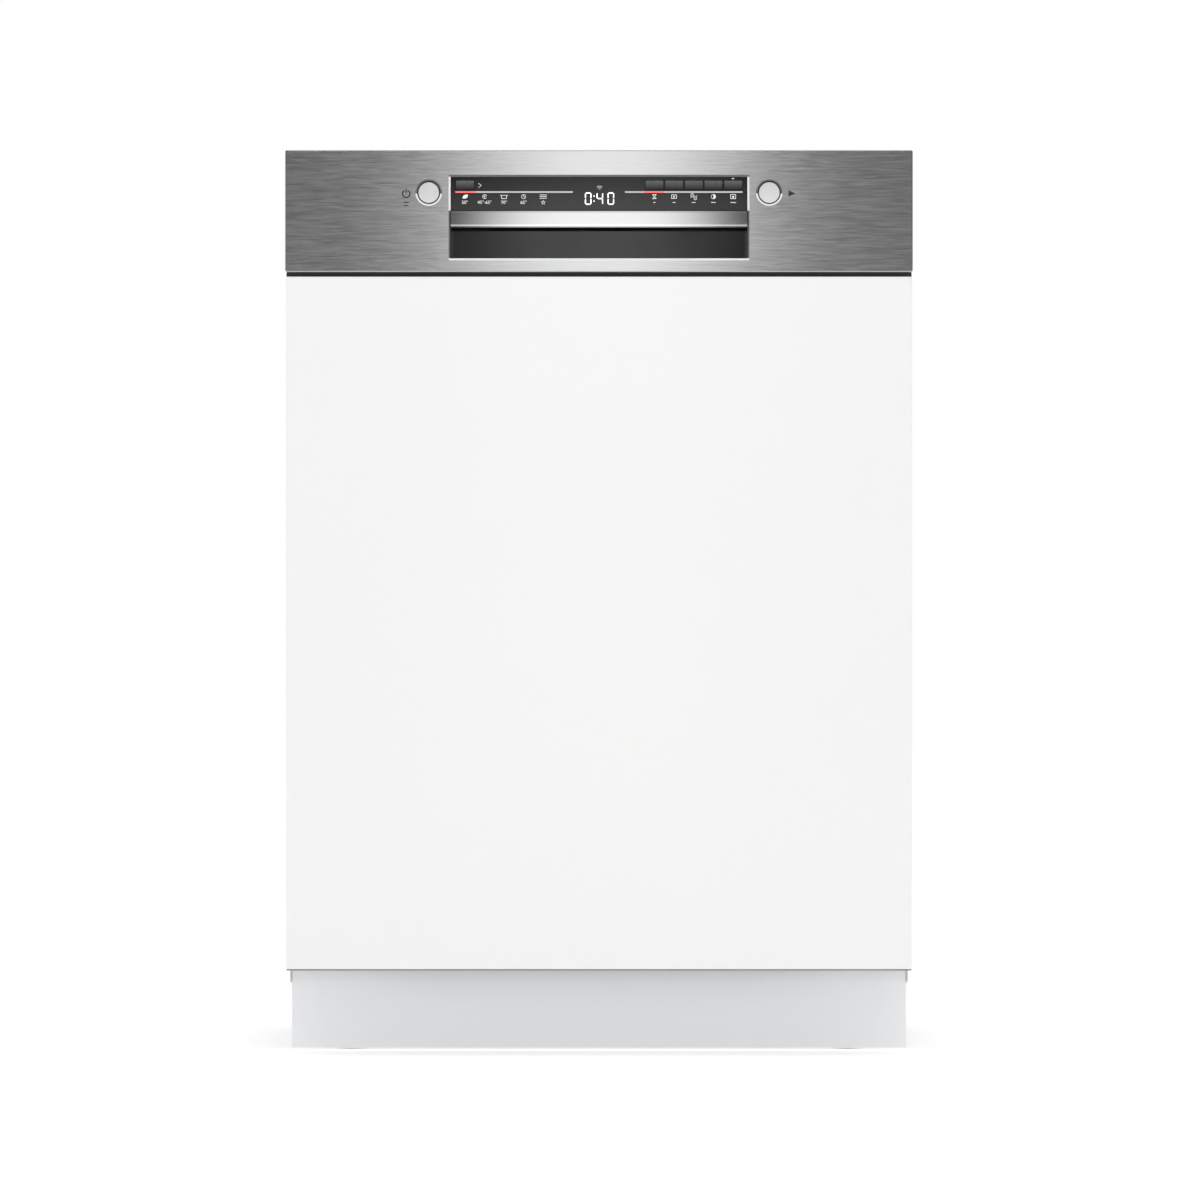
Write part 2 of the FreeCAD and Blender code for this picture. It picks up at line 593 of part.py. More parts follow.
def side_panels():
    """Galvanised outer side sheets with a front return."""
    for side, label in ((-1, "side_panel_left"), (1, "side_panel_right")):
        left, right = span(side, "half_width - skin", "half_width")
        outline = [("side_panel_front", "side_panel_top"), ("side_panel_front", "tub_lower_edge"),
                   ("plinth_front", "tub_lower_edge"), ("plinth_front", "side_panel_bottom"),
                   ("tray_rear", "side_panel_bottom"), ("tray_rear", "side_panel_top")]
        body = slab("SidePanel", "YZ", outline, left, "skin")
        left, right = span(side, "half_width - side_fold", "half_width - skin / 2")
        for front in ("side_panel_front", "tray_rear - skin"):
            pad(body, sketch(body, "XY", rectangle(left, front, right, f"{front} + skin"),
                             "tub_lower_edge"), "side_panel_top - tub_lower_edge")
        top_fold = rectangle(left, "side_panel_front", right, "tray_rear")
        pad(body, sketch(body, "XY", top_fold, "side_panel_top - skin"), "skin")
        node(label, body)


def top_cross_rail():
    """Channel across the top front that is screwed up to the worktop."""
    front, low, high = "cross_front + tub_sheet", "cross_bottom + tub_sheet", "cross_top - tub_sheet"
    outline = [("cross_front", "cross_bottom"), ("cross_rear", "cross_bottom"), ("cross_rear", low),
               (front, low), (front, high), ("cross_rear - 10", high),
               ("cross_rear - 10", "cross_top"), ("cross_front", "cross_top")]
    body = slab("TopCrossRail", "YZ", outline, "-flange_half_width", "2 * flange_half_width")
    for side in (-1, 1):
        drill(body, (f"{side} * 200", "-190"), "864", "2.5", "3")
    node("top_cross_rail", body)


def door_gasket():
    """Rubber seal round the tub's mouth."""
    node("door_gasket",
         slab("DoorGasket", "XZ",
              arch_band("gasket_outer", "gasket_top", "gasket_inner", "gasket_inner_top", "gasket_bottom"),
              "-tub_front", "tub_front - gasket_front"))


def latch_strike():
    body = slab("LatchStrike", "XY",
                rectangle("-strike_half_width", "strike_front", "strike_half_width", "cross_front"),
                "strike_bottom", "strike_top - strike_bottom")
    node("latch_strike", body)


def hinge_brackets():
    """Two fixed plates on the base with the door's hinge pins."""
    brackets = []
    for side in (-1, 1):
        left, right = span(side, "bracket_inner", "bracket_outer")
        plate = box((left, "bracket_front", "pivot_height - 14"), (right, "bracket_rear", "bracket_top"))
        leg = box((left, "bracket_rear - 14", "tray_bottom + tray_wall"),
                  (right, "bracket_rear", "pivot_height - 13"))
        left = span(side, "bracket_inner", "arm_outer + 3")[0]
        pin = cylinder((left, "pivot_depth", "pivot_height"), "pin_radius",
                       "arm_outer + 3 - bracket_inner", "x")
        brackets.append(join(plate, leg, pin))
    node("hinge_brackets", group(*brackets))


def sound_mats():
    """Bitumen and felt mats on the top, rear and right side of the tub."""
    top = "tub_top + tub_sheet"
    rear = "tub_rear + tub_sheet"
    side = "tub_half_width + tub_sheet"
    node("sound_mats", group(
        box(("-240", "-140", top), ("240", "230", f"{top} + mat_thick")),
        box(("-250", rear, "170"), ("250", f"{rear} + mat_thick", "800")),
        box((side, "-180", "180"), (f"{side} + mat_thick", "230", "800"))))


def heat_exchanger():
    """Flat water tank between the tub and the left side panel."""
    outline = rectangle("exchanger_front", "exchanger_bottom", "exchanger_rear", "exchanger_top")
    body = slab("HeatExchanger", "YZ", outline, "-exchanger_side", "exchanger_thick")
    rounded(body, 20, lambda edge: edge.XLength > 10)
    for level in (320, 440, 560, 680):
        groove = rectangle("exchanger_front + 30", str(level), "exchanger_rear - 30", str(level + 14))
        pocket(body, sketch(body, "YZ", groove, "-exchanger_side"), "3", reverse=True)
    node("heat_exchanger", body)


# ---------------------------------------------------------------- base and hydraulics

def base_tray():
    """Moulded base with foot sockets and openings for the water and mains connections."""
    outline = rectangle("-tray_half_width", "tray_front", "tray_half_width", "tray_rear")
    body = slab("BaseTray", "XY", outline,
                "tray_bottom", "tub_lower_edge - tray_bottom")
    inside = rectangle("-tray_half_width + tray_wall", "tray_front + tray_wall",
                       "tray_half_width - tray_wall", "tray_rear - tray_wall")
    pocket(body, sketch(body, "XY", inside, "tub_lower_edge"), "tub_lower_edge - tray_bottom - tray_wall")
    front = rectangle("-tray_half_width + tray_wall", "tray_front_top", "tray_half_width - tray_wall",
                      "tub_lower_edge + 1")
    pocket(body, sketch(body, "XZ", front, "-tray_front - tray_wall - 1"), "tray_wall + 2", reverse=True)
    for across, half, low, high in (("inlet_side", 22, 80, 120), ("cable_side", 15, 85, 115),
                                    ("drain_side", 12, 84, 108)):
        window = rectangle(f"{across} - {half}", str(low), f"{across} + {half}", str(high))
        pocket(body, sketch(body, "XZ", window, "-tray_rear - 1"), "tray_wall + 2", reverse=True)
    for across, deep in foot_places():
        corners = rectangle(f"{across} - 10", f"{deep} - 10", f"{across} + 10", f"{deep} + 10")
        pad(body, sketch(body, "XY", corners, "tray_bottom + 1"), "22")
    for across, deep in foot_places():
        drill(body, (across, deep), "tray_bottom + 30", "foot_bore", "40")
    node("base_tray", body)


def foot_places():
    return [("-foot_side", "front_foot_depth"), ("foot_side", "front_foot_depth"), ("0", "rear_foot_depth")]


def feet():
    """Screw feet: a broad pad with a threaded stem."""
    outline = [("0", "0"), ("foot_radius - 1", "0"), ("foot_radius", "1"), ("foot_radius", "9"),
               ("foot_radius - 3", "12"), ("foot_stem", "14"), ("foot_stem", "foot_stem_top"),
               ("0", "foot_stem_top")]
    labels = ("foot_front_left", "foot_front_right", "foot_rear")
    for label, (across, deep) in zip(labels, foot_places()):
        node(label, turned("Foot", outline, (across, deep, "0")))


def plinth_panel():
    body = slab("PlinthPanel", "XZ",
                rectangle("-plinth_half_width", "plinth_bottom", "plinth_half_width", "plinth_top"),
                "-tray_front", "tray_front - plinth_front")
    rounded(body, 0.8, lambda edge: edge.YMax < -186.4)
    node("plinth_panel", body)


def sump_housing():
    """Filter well, spray tower and the duct between them."""
    well = cylinder(("well_side", "well_depth", "well_bottom"), "well_radius",
                    "floor_level - tub_sheet - well_bottom")
    hollow = cylinder(("well_side", "well_depth", "well_bottom + 3"), "well_radius - 3", "60")
    tower = cylinder(("0", "spray_depth", "100"), "tower_radius", "tower_top - 100")
    spigot = cylinder(("0", "spray_depth", "tower_top - 1"), "spigot_radius",
                      "lower_arm_bottom + 7 - tower_top")
    duct = box(("0", "-20", "well_bottom + 12"), ("well_side - 45", "20", "well_bottom + 34"))
    node("sump_housing", join(cut(well, hollow), tower, spigot, duct))


def circulation_pump():
    """Circulation pump lying across the base."""
    motor = cylinder(("pump_left", "pump_depth", "pump_height"), "pump_radius - 4",
                     "volute_left - pump_left", "x")
    volute = cylinder(("volute_left", "pump_depth", "pump_height"), "pump_radius", "32", "x")
    nozzle = cylinder(("volute_left + 31", "pump_depth", "pump_height"), "14", "16", "x")
    riser = cylinder(("volute_left + 16", "pump_depth - 60", "pump_height"), "12", "60", "y")
    node("circulation_pump", join(motor, volute, nozzle, riser))


def drain_pump():
    """Drain pump with its hose spigot through the back of the base."""
    motor = cylinder(("drain_side - 30", "drain_depth", "drain_height"), "drain_motor", "62", "x")
    collar = cylinder(("drain_side", "drain_depth", "drain_height"), "drain_spigot + 4", "50", "y")
    spigot = cylinder(("drain_side", "drain_depth", "drain_height"), "drain_spigot",
                      "rear_plane - drain_depth", "y")
    node("drain_pump", join(motor, collar, spigot))


def water_softener():
    """Salt container with a threaded neck through the tub floor."""
    low = "tray_bottom + tray_wall"
    tank = box(("softener_left", "softener_front", low), ("softener_right", "softener_rear", "tank_top"))
    neck = cylinder(("salt_side", "salt_depth", "tank_top - 4"), "salt_neck", "cap_level - tank_top + 4")
    hollow = box(("softener_left + 3", "softener_front + 3", f"{low} + 3"),
                 ("softener_right - 3", "softener_rear - 3", "tank_top - 3"))
    bore = cylinder(("salt_side", "salt_depth", "tank_top - 14"), "salt_bore", "30")
    node("water_softener", cut(join(tank, neck), hollow, bore))


def salt_cap():
    """Screw cap of the salt container."""
    outline = [("0", "-14"), ("salt_bore - 0.5", "-14"), ("salt_bore - 0.5", "0.4"),
               ("salt_neck - 1", "0.4"), ("salt_neck - 1", "7"), ("salt_neck - 3", "9"), ("0", "9")]
    body = turned("SaltCap", outline, ("salt_side", "salt_depth", "cap_level"))
    pad(body, sketch(body, "XY", rectangle("-24", "-4", "24", "4"), "8"), "6")
    node("salt_cap", body)


def filter_cylinder():
    """Turning micro filter with its grip above the tub floor."""
    outline = [("0", "0"), ("filter_radius - 6", "0"), ("filter_radius - 6", "40"), ("filter_radius", "43"),
               ("filter_radius", "52"), ("filter_radius - 9", "55"), ("filter_radius - 9", "30"),
               ("filter_radius - 11", "3"), ("0", "3")]
    body = turned("FilterCylinder", outline, ("well_side", "well_depth", "well_bottom + 6"))
    pad(body, sketch(body, "XY", rectangle("-filter_radius + 8", "-2.5", "filter_radius - 8", "2.5"), "48"),
        "13")
    node("filter_cylinder", body)


def flat_filter():
    """Flat sieve round the filter well."""
    node("flat_filter", slab("FlatFilter", "XY", rectangle("50", "-76", "160", "36"), "floor_level", "1.5",
                             holes=[("well_side", "well_depth", "filter_radius + 2")]))


def water_inlet_valve():
    """Inlet valve with its threaded hose connection."""
    valve = box(("inlet_side - valve_half", "valve_front", "inlet_height - valve_half"),
                ("inlet_side + valve_half", "valve_rear", "inlet_height + valve_half"))
    thread = cylinder(("inlet_side", "valve_rear - 1", "inlet_height"), "inlet_thread", "23", "y")
    bore = cylinder(("inlet_side", "valve_rear + 8", "inlet_height"), "inlet_bore", "20", "y")
    node("water_inlet_valve", cut(join(valve, thread), bore))


def mains_terminal_box():
    """Terminal box with a cable gland at the rear."""
    block = box(("cable_side - terminal_half_width", "terminal_front", "terminal_bottom"),
                ("cable_side + terminal_half_width", "terminal_rear", "terminal_top"))
    gland = cylinder(("cable_side", "terminal_rear - 1", "cable_height"), "gland_radius", "22", "y")
    bore = cylinder(("cable_side", "terminal_rear - 10", "cable_height"), "cable_bore", "40", "y")
    node("mains_terminal_box", cut(join(block, gland), bore))


def spray_riser_pipe():
    """Flat supply pipe up the rear wall to the shower head under the tub's top."""
    rear = "tub_rear - 0.2"
    pipe = box(("-riser_half_width", "riser_front", "floor_level"),
               ("riser_half_width", rear, "riser_top"))
    dock = cylinder(("0", "riser_front - 8", "upper_level - 12"), "8", "9", "y")
    run = box(("-10", "spray_depth", "top_head_bottom + 4"), ("10", rear, "riser_top"))
    head = cylinder(("0", "spray_depth", "top_head_bottom"), "top_head_radius", "top_head_thick")
    node("spray_riser_pipe", join(pipe, dock, run, head))


# ---------------------------------------------------------------- racks

def number(name):
    """A size read from the sheet for the wire work."""
    return float(sheet.get(name))


def spread(start, end, count):
    """Evenly spaced places from start to end."""
    count = int(count)
    return [start + (end - start) * n / (count - 1) for n in range(count)]


def rod(start, end, radius):
    return Part.makeCylinder(radius, (end - start).Length, start, end - start)


def lattice(rods):
    """Crossing rods welded into one solid."""
    return rods[0].multiFuse(rods[1:])


def floor_grid(half, level):
    """Rods that run front to back, laid on rods that run across."""
    front = number("rack_front") + 3
    rear = number("rack_rear") - 3
    top = level + number("rod_step")
    along = [rod(Vector(x, front, top), Vector(x, rear, top), number("rod_thick"))
             for x in spread(-half + 8, half - 8, number("floor_rods_along"))]
    across = [rod(Vector(-half + 3, y, level), Vector(half - 3, y, level), number("rod_thin"))
              for y in spread(front + 8, rear - 8, number("floor_rods_across"))]
    return lattice(along + across)


def wall_grid(start, end, outward, level, rim):
    """A rack wall between two floor points: uprights, and rails on their outer side."""
    direction = (end - start).normalize()
    lift = Vector(0, 0, 1)
    shift = outward * number("rod_step")
    length = (Vector(end) - Vector(start)).Length
    rods = []
    for run in spread(6, length - 6, number("wall_uprights")):
        foot = start + direction * run
        rods.append(rod(foot + lift * (level - 2), foot + lift * rim, number("rod_thin")))
    for height in spread(level + 6, rim - 2, number("wall_rails")):
        rods.append(rod(start + shift + lift * height, end + shift + lift * height, number("rod_thick")))
    return lattice(rods)


def basket(half, level, rim):
    """Floor and four walls of a rack."""
    front, rear = number("rack_front"), number("rack_rear")
    corners = {
        "front": (Vector(-half + 3, front, 0), Vector(half - 3, front, 0), Vector(0, -1, 0)),
        "rear": (Vector(-half + 3, rear, 0), Vector(half - 3, rear, 0), Vector(0, 1, 0)),
        "left": (Vector(-half, front, 0), Vector(-half, rear, 0), Vector(-1, 0, 0)),
        "right": (Vector(half, front, 0), Vector(half, rear, 0), Vector(1, 0, 0)),
    }
    solids = [floor_grid(half, level)]
    for start, end, outward in corners.values():
        solids.append(wall_grid(start, end, outward, level, rim))
    return solids


def comb(x, height, radius, count):
    """A row of upright tines on one rod that runs front to back."""
    front, rear = -150, 190
    rods = [rod(Vector(x, front, height), Vector(x, rear, height), number("rod_thin"))]
    for y in spread(front + 8, rear - 8, count):
        rods.append(rod(Vector(x, y, height), Vector(x, y, number("tine_top")), radius))
    return lattice(rods)


def wire_node(label, solids):
    item = doc.addObject("Part::Feature", "WireWork")
    item.Shape = Part.makeCompound(solids)
    item.Placement = Placement()
    node(label, item)


def lower_rack():
    """Lower rack with fixed tines, wheel brackets with axles and bearings for the folding row."""
    level = number("lower_level")
    floor_top = level + number("rod_step") + number("rod_thick")
    solids = basket(number("lower_half_width"), level, number("lower_rim"))
    for x in (-150, -75):
        solids.append(comb(x, floor_top + number("rod_thin"), number("tine_radius"), 13))
    outside = number("lower_half_width") + number("rod_step") + number("rod_thick")
    height = number("wheel_height")
    for side in (-1, 1):
        for y in (number("front_wheel_depth"), number("rear_wheel_depth")):
            left = outside if side > 0 else -outside - 3
            plate = Part.makeBox(3, 24, 50, Vector(left, y - 12, height - 8))
            axle = rod(Vector(side * (outside + 1), y, height),
                       Vector(side * (number("wheel_outer") + 1), y, height), number("axle_radius"))
            solids.append(plate.fuse(axle))
    for y in (-138, 174):
        block = Part.makeBox(12, 6, 9, Vector(number("fold_side") - 6, y, floor_top))
        bore = rod(Vector(number("fold_side"), y - 1, number("fold_height")),
                   Vector(number("fold_side"), y + 7, number("fold_height")), number("rod_thin") + 0.3)
        solids.append(block.cut(bore))
    wire_node("lower_rack", solids)


def lower_rack_folding_tines():
    """Plate tines that fold down to the rack's floor."""
    wire_node("lower_rack_folding_tines",
              [comb(number("fold_side"), number("fold_height"), number("tine_radius"), 12)])


def rack_wheels():
    """Lower rack wheels, in a front pair and a rear pair."""
    for label, depth in (("lower_rack_front_wheels", "front_wheel_depth"),
                         ("lower_rack_rear_wheels", "rear_wheel_depth")):
        wide = "wheel_outer - wheel_inner"
        outline = [("axle_radius + 0.3", "0"), ("wheel_radius - 1", "0"), ("wheel_radius", "1"),
                   ("wheel_radius", f"{wide} - 1"), ("wheel_radius - 1", wide),
                   ("wheel_radius - 4", wide), ("wheel_radius - 5", f"{wide} - 3"), ("9", f"{wide} - 3"),
                   ("8", wide), ("axle_radius + 0.3", wide)]
        wheels = []
        for side in (-1, 1):
            turn = Rotation(Vector(0, 1, 0), 90 * side)
            wheels.append(turned("Wheel", outline, (f"{side} * wheel_inner", depth, "wheel_height"), turn))
        node(label, group(*wheels))


def upper_rack():
    """Upper rack with its inner rails, the shelf's brackets and the feed to its spray arm."""
    level = number("upper_level")
    half = number("upper_half_width")
    solids = basket(half, level, number("upper_rim"))
    low, high = number("rail_low") + 4, number("rail_high") - 4
    inner = half + number("rod_step") + number("rod_thick")
    wide = number("rack_rail_outer") - inner
    deep = number("rack_rear") - number("rack_front")
    for left in (inner, -inner - wide):
        solids.append(Part.makeBox(wide, deep, high - low, Vector(left, number("rack_front"), low)))
    hinge_x, hinge_z = number("shelf_hinge_side"), number("shelf_height")
    for y in (-number("shelf_half_length") - 15, number("shelf_half_length") + 5):
        block = Part.makeBox(half - 2.1 - hinge_x + 7, 10, 12, Vector(hinge_x - 7, y, hinge_z - 6))
        bore = rod(Vector(hinge_x, y - 1, hinge_z), Vector(hinge_x, y + 11, hinge_z), 3.3)
        solids.append(block.cut(bore))
    middle = number("spray_depth")
    arm = number("upper_arm_bottom")
    duct = Part.makeBox(18, number("rack_rear") - 8 - middle, 11, Vector(-9, middle, arm + 17))
    stem = rod(Vector(0, middle, arm - 5), Vector(0, middle, arm + 18), number("upper_spigot"))
    cap = rod(Vector(0, middle, arm - 7), Vector(0, middle, arm - 3.4), 14)
    solids.append(duct.fuse([stem, cap]))
    wire_node("upper_rack", solids)


def upper_rack_guide_rails():
    """Fixed channels on the tub's walls."""
    rails = []
    for side in (-1, 1):
        left, right = span(side, "rail_inner", "rail_outer")
        body = box((left, "rail_front", "rail_low"), (right, "rail_rear", "rail_high"))
        left, right = span(side, "rail_inner - 1", "rail_outer - 1.5")
        hollow = box((left, "rail_front - 1", "rail_low + 1.5"),
                     (right, "rail_rear + 1", "rail_high - 1.5"))
        rails.append(cut(body, hollow))
    node("upper_rack_guide_rails", group(*rails))


def upper_rack_runners():
    """Middle members of the telescopic rails."""
    runners = []
    for side in (-1, 1):
        left, right = span(side, "runner_inner", "runner_outer")
        runners.append(box((left, "rail_front + 2", "rail_low + 2"),
                           (right, "rail_rear - 2", "rail_high - 2")))
    node("upper_rack_runners", group(*runners))


def cup_shelf():
    """Fold-up shelf with slots, on its hinge rod."""
    body = slab("CupShelf", "XY",
                rectangle("shelf_hinge_side - shelf_reach", "-shelf_half_length",
                          "shelf_hinge_side + 1", "shelf_half_length"), "shelf_height - 1.5", "3")
    rod_section = [("-2.7", "-1.2"), ("-1.2", "-2.7"), ("1.2", "-2.7"), ("2.7", "-1.2"),
                   ("2.7", "1.2"), ("1.2", "2.7"), ("-1.2", "2.7"), ("-2.7", "1.2")]
    corners = [(f"shelf_hinge_side + ({x})", f"shelf_height + ({z})") for x, z in rod_section]
    pad(body, sketch(body, "XZ", corners, "-shelf_half_length - 13"), "2 * shelf_half_length + 26")
    for n in range(6):
        middle = -125 + 50 * n
        slot = rectangle("shelf_hinge_side - shelf_reach + 10", f"{middle} - 14", "shelf_hinge_side - 12",
                         f"{middle} + 14")
        pocket(body, sketch(body, "XY", slot, "shelf_height + 2"), "4")
    node("cup_shelf", body)


def spray_arm(label, reach, bottom, bore, blind):
    """Flat spray arm, tapered to its tips, on a round hub."""
    tip = "arm_half_width * 0.6"
    corners = [(f"-({reach})", f"-({tip})"), ("-30", "-arm_half_width"), ("30", "-arm_half_width"),
               (reach, f"-({tip})"), (reach, tip), ("30", "arm_half_width"), ("-30", "arm_half_width"),
               (f"-({reach})", tip)]
    body = slab("SprayArm", "XY", corners, bottom, "arm_thick")
    rounded(body, 8, lambda edge: edge.ZLength > 8 and abs(edge.XMin) > 150)
    hub = [(f"hub_radius * {math.cos(math.tau * n / 24):.4f}",
            f"hub_radius * {math.sin(math.tau * n / 24):.4f}")
           for n in range(24)]
    pad(body, sketch(body, "XY", hub, f"{bottom} - 2"), "arm_thick + 3")
    depth = "arm_thick + 0.5" if blind else "arm_thick + 5"
    item = sketch(body, "XY", [], f"{bottom} - 2", holes=[("0", "0", bore)])
    pocket(body, item, depth, reverse=True)
    node(label, place(body, ("0", "spray_depth", "0")))


def cutlery_basket():
    """Cutlery basket with six compartments and a handle."""
    shell = box(("basket_left", "basket_front", "basket_bottom"),
                ("basket_right", "basket_rear", "basket_top"))
    hollows = []
    for row in range(2):
        for column in range(3):
            wide = "((basket_right - basket_left - 3 * basket_wall) / 2)"
            deep = "((basket_rear - basket_front - 4 * basket_wall) / 3)"
            left = f"basket_left + basket_wall + {row} * ({wide} + basket_wall)"
            front = f"basket_front + basket_wall + {column} * ({deep} + basket_wall)"
            hollows.append(box((left, front, "basket_bottom + basket_wall"),
                               (f"{left} + {wide}", f"{front} + {deep}", "basket_top + 1")))
    middle = "(basket_left + basket_right) / 2"
    handle = box((f"{middle} - 1", "basket_front", "basket_top - 4"),
                 (f"{middle} + 1", "basket_rear", "basket_top + handle_rise"))
    grip = box((f"{middle} - 2", "basket_front + 14", "basket_top + 6"),
               (f"{middle} + 2", "basket_rear - 14", "basket_top + handle_rise - 14"))
    node("cutlery_basket", join(cut(shell, *hollows), cut(handle, grip)))


def door_springs():
    """Two horizontal balance springs in the base, behind the hinge arms' lobes."""
    springs = []
    for side in (-1, 1):
        helix = doc.addObject("Part::Helix", "SpringLine")
        helix.Pitch = 9
        helix.Height = 144
        helix.Radius = 5.6
        place(helix, (f"{side} * spring_side", "spring_front", "spring_height"), ALONG["y"])
        section = doc.addObject("Part::Circle", "SpringWire")
        section.Radius = 1.1
        place(section, (f"{side} * spring_side + 5.6", "spring_front", "spring_height"))
        spring = doc.addObject("Part::Sweep", "Spring")
        spring.Sections = [section]
        spring.Spine = (helix, ["Edge1"])
        spring.Solid = True
        spring.Frenet = True
        springs.append(spring)
    node("door_springs", group(*springs))


# ---------------------------------------------------------------- assembly

fascia_panel()
fascia_carrier()
display_window()
handle_bar()
round_button("power_button", -1)
round_button("start_button", 1)
for label, side in zip(["programme_button"] + [f"option_button_{n}" for n in range(1, 6)], key_sides()):
    key(label, side)
furniture_panel()
outer_door_sheet()
inner_door_liner()
door_screws()
detergent_dispenser()
detergent_lid()
rinse_aid_cap()
control_board()
door_lock()
door_hinge_arms()
tub_shell()
tub_rear_wall()
tub_floor()
side_panels()
top_cross_rail()
door_gasket()
latch_strike()
hinge_brackets()
sound_mats()
heat_exchanger()
base_tray()
feet()
plinth_panel()
sump_housing()
circulation_pump()
drain_pump()
water_softener()
salt_cap()
filter_cylinder()
flat_filter()
water_inlet_valve()
mains_terminal_box()
spray_riser_pipe()
lower_rack()
lower_rack_folding_tines()
rack_wheels()
upper_rack()
upper_rack_guide_rails()
upper_rack_runners()
cup_shelf()
spray_arm("lower_spray_arm", "lower_arm_reach", "lower_arm_bottom", "spigot_radius + 0.3", blind=True)
spray_arm("upper_spray_arm", "upper_arm_reach", "upper_arm_bottom", "upper_spigot + 0.3", blind=False)
cutlery_basket()
door_springs()

doc.recompute()
faults = [item.Label for item in doc.Objects if {"Invalid", "Error"} & set(item.State)]
faults += [item.Label for item in NODES if item.Shape.isNull() or not item.Shape.isValid()]
if faults:
    raise RuntimeError(f"failed objects: {faults}")

os.makedirs("parts", exist_ok=True)
for item in NODES:
    item.Shape.exportStep(f"parts/{item.Label}.step")
print(len(NODES), "nodes")
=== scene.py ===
"""Looks of the built-in dishwasher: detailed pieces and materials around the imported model.

Metres, in the model's own frame: X to the right, -Y out of the front, +Z up, floor at z = 0.
"""
from math import copysign, cos, hypot, pi, radians, sin, sqrt, tau

import bmesh
import bpy
from mathutils import Matrix, Vector
from mathutils.geometry import tessellate_polygon


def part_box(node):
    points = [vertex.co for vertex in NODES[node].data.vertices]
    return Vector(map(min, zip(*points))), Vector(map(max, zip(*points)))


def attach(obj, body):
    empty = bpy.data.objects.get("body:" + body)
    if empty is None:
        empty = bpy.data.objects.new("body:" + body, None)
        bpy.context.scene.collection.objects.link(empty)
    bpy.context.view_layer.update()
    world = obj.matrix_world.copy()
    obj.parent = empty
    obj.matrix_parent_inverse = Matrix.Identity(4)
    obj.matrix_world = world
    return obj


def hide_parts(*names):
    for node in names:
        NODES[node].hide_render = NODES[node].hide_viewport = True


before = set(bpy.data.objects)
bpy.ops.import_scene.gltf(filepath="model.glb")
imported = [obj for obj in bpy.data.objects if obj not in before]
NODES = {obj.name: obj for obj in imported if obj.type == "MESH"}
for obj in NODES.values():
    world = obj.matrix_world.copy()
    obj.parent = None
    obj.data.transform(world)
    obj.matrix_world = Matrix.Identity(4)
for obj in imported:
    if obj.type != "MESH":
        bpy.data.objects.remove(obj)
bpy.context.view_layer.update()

MM = 0.001
LOOKS = {}                                       # every material by its name


# ---- material helpers

def feed(tree, target, source):
    """Link another socket to an input, or set it to a plain number or colour."""
    if isinstance(source, bpy.types.NodeSocket):
        tree.links.new(source, target)
    else:
        target.default_value = source


def add_node(tree, kind, **inputs):
    """A shader node, its inputs named with underscores for spaces."""
    item = tree.nodes.new(kind)
    for socket, source in inputs.items():
        feed(tree, item.inputs[socket.replace("_", " ")], source)
    return item


def calculate(tree, operation, first, second=0.5):
    """The output of a math node."""
    item = tree.nodes.new("ShaderNodeMath")
    item.operation = operation
    feed(tree, item.inputs[0], first)
    feed(tree, item.inputs[1], second)
    return item.outputs[0]


def map_range(tree, source, start, end, low, high):
    """A node that maps start..end to low..high."""
    return add_node(tree, "ShaderNodeMapRange", Value=source, From_Min=start, From_Max=end, To_Min=low,
                    To_Max=high)


def scaled(color, factor):
    return tuple(min(1.0, part * factor) for part in color)


def grey(tone):
    return (tone, tone, tone)


class Paint:
    """A node material being built round one Principled shader."""

    def __init__(self, name, color, roughness, metallic=0.0, **sockets):
        LOOKS[name] = bpy.data.materials.new(name)
        LOOKS[name].use_nodes = True
        self.tree = LOOKS[name].node_tree
        self.shader = self.tree.nodes["Principled BSDF"]
        self.own_color, self.own_roughness = color, roughness
        sockets.update(Base_Color=(*color, 1), Roughness=roughness, Metallic=metallic)
        for socket, source in sockets.items():
            self.set(socket.replace("_", " "), source)

    def set(self, socket, source):
        feed(self.tree, self.shader.inputs[socket], source)

    def node(self, kind, **inputs):
        return add_node(self.tree, kind, **inputs)

    def place(self, scale=(1, 1, 1)):
        """Object coordinates in metres, stretched."""
        here = self.node("ShaderNodeTexCoord").outputs["Object"]
        return self.node("ShaderNodeMapping", Vector=here, Scale=scale).outputs[0]

    def height(self):
        return self.node("ShaderNodeSeparateXYZ", Vector=self.place()).outputs[2]

    def noise(self, scale, detail=2.0, rough=0.55, stretch=(1, 1, 1)):
        return self.node("ShaderNodeTexNoise", Vector=self.place(stretch), Scale=scale, Detail=detail,
                         Roughness=rough).outputs["Fac"]

    def cells(self, pitch):
        """A square grid of cells, pitch in metres."""
        return self.node("ShaderNodeTexVoronoi", Vector=self.place(), Scale=1 / pitch, Randomness=0.0)

    def spread(self, factor, low, high, start=0.3, end=0.7):
        """Map a 0..1 pattern to a range of numbers."""
        return map_range(self.tree, factor, start, end, low, high).outputs[0]

    def tint(self, factor, first, second, start=0.3, end=0.7):
        """Blend two base colours by a pattern."""
        ramp = self.node("ShaderNodeValToRGB", Fac=factor)
        for element, color, position in zip(ramp.color_ramp.elements, (first, second), (start, end)):
            element.position = position
            element.color = (*color, 1)
        self.set("Base Color", ramp.outputs[0])

    def tone(self, factor, low, high, start=0.3, end=0.7):
        """Vary the base colour between two multiples of the paint's own."""
        self.tint(factor, scaled(self.own_color, low), scaled(self.own_color, high), start, end)

    def wear(self, factor, less, more, start=0.3, end=0.7):
        """Vary the roughness below and above the paint's own."""
        level = self.own_roughness
        self.set("Roughness", self.spread(factor, level - less, level + more, start, end))

    def bump(self, height, strength, distance):
        """Raise a pattern by a distance in millimetres."""
        item = self.node("ShaderNodeBump", Height=height, Strength=strength, Distance=distance * MM)
        self.set("Normal", item.outputs[0])


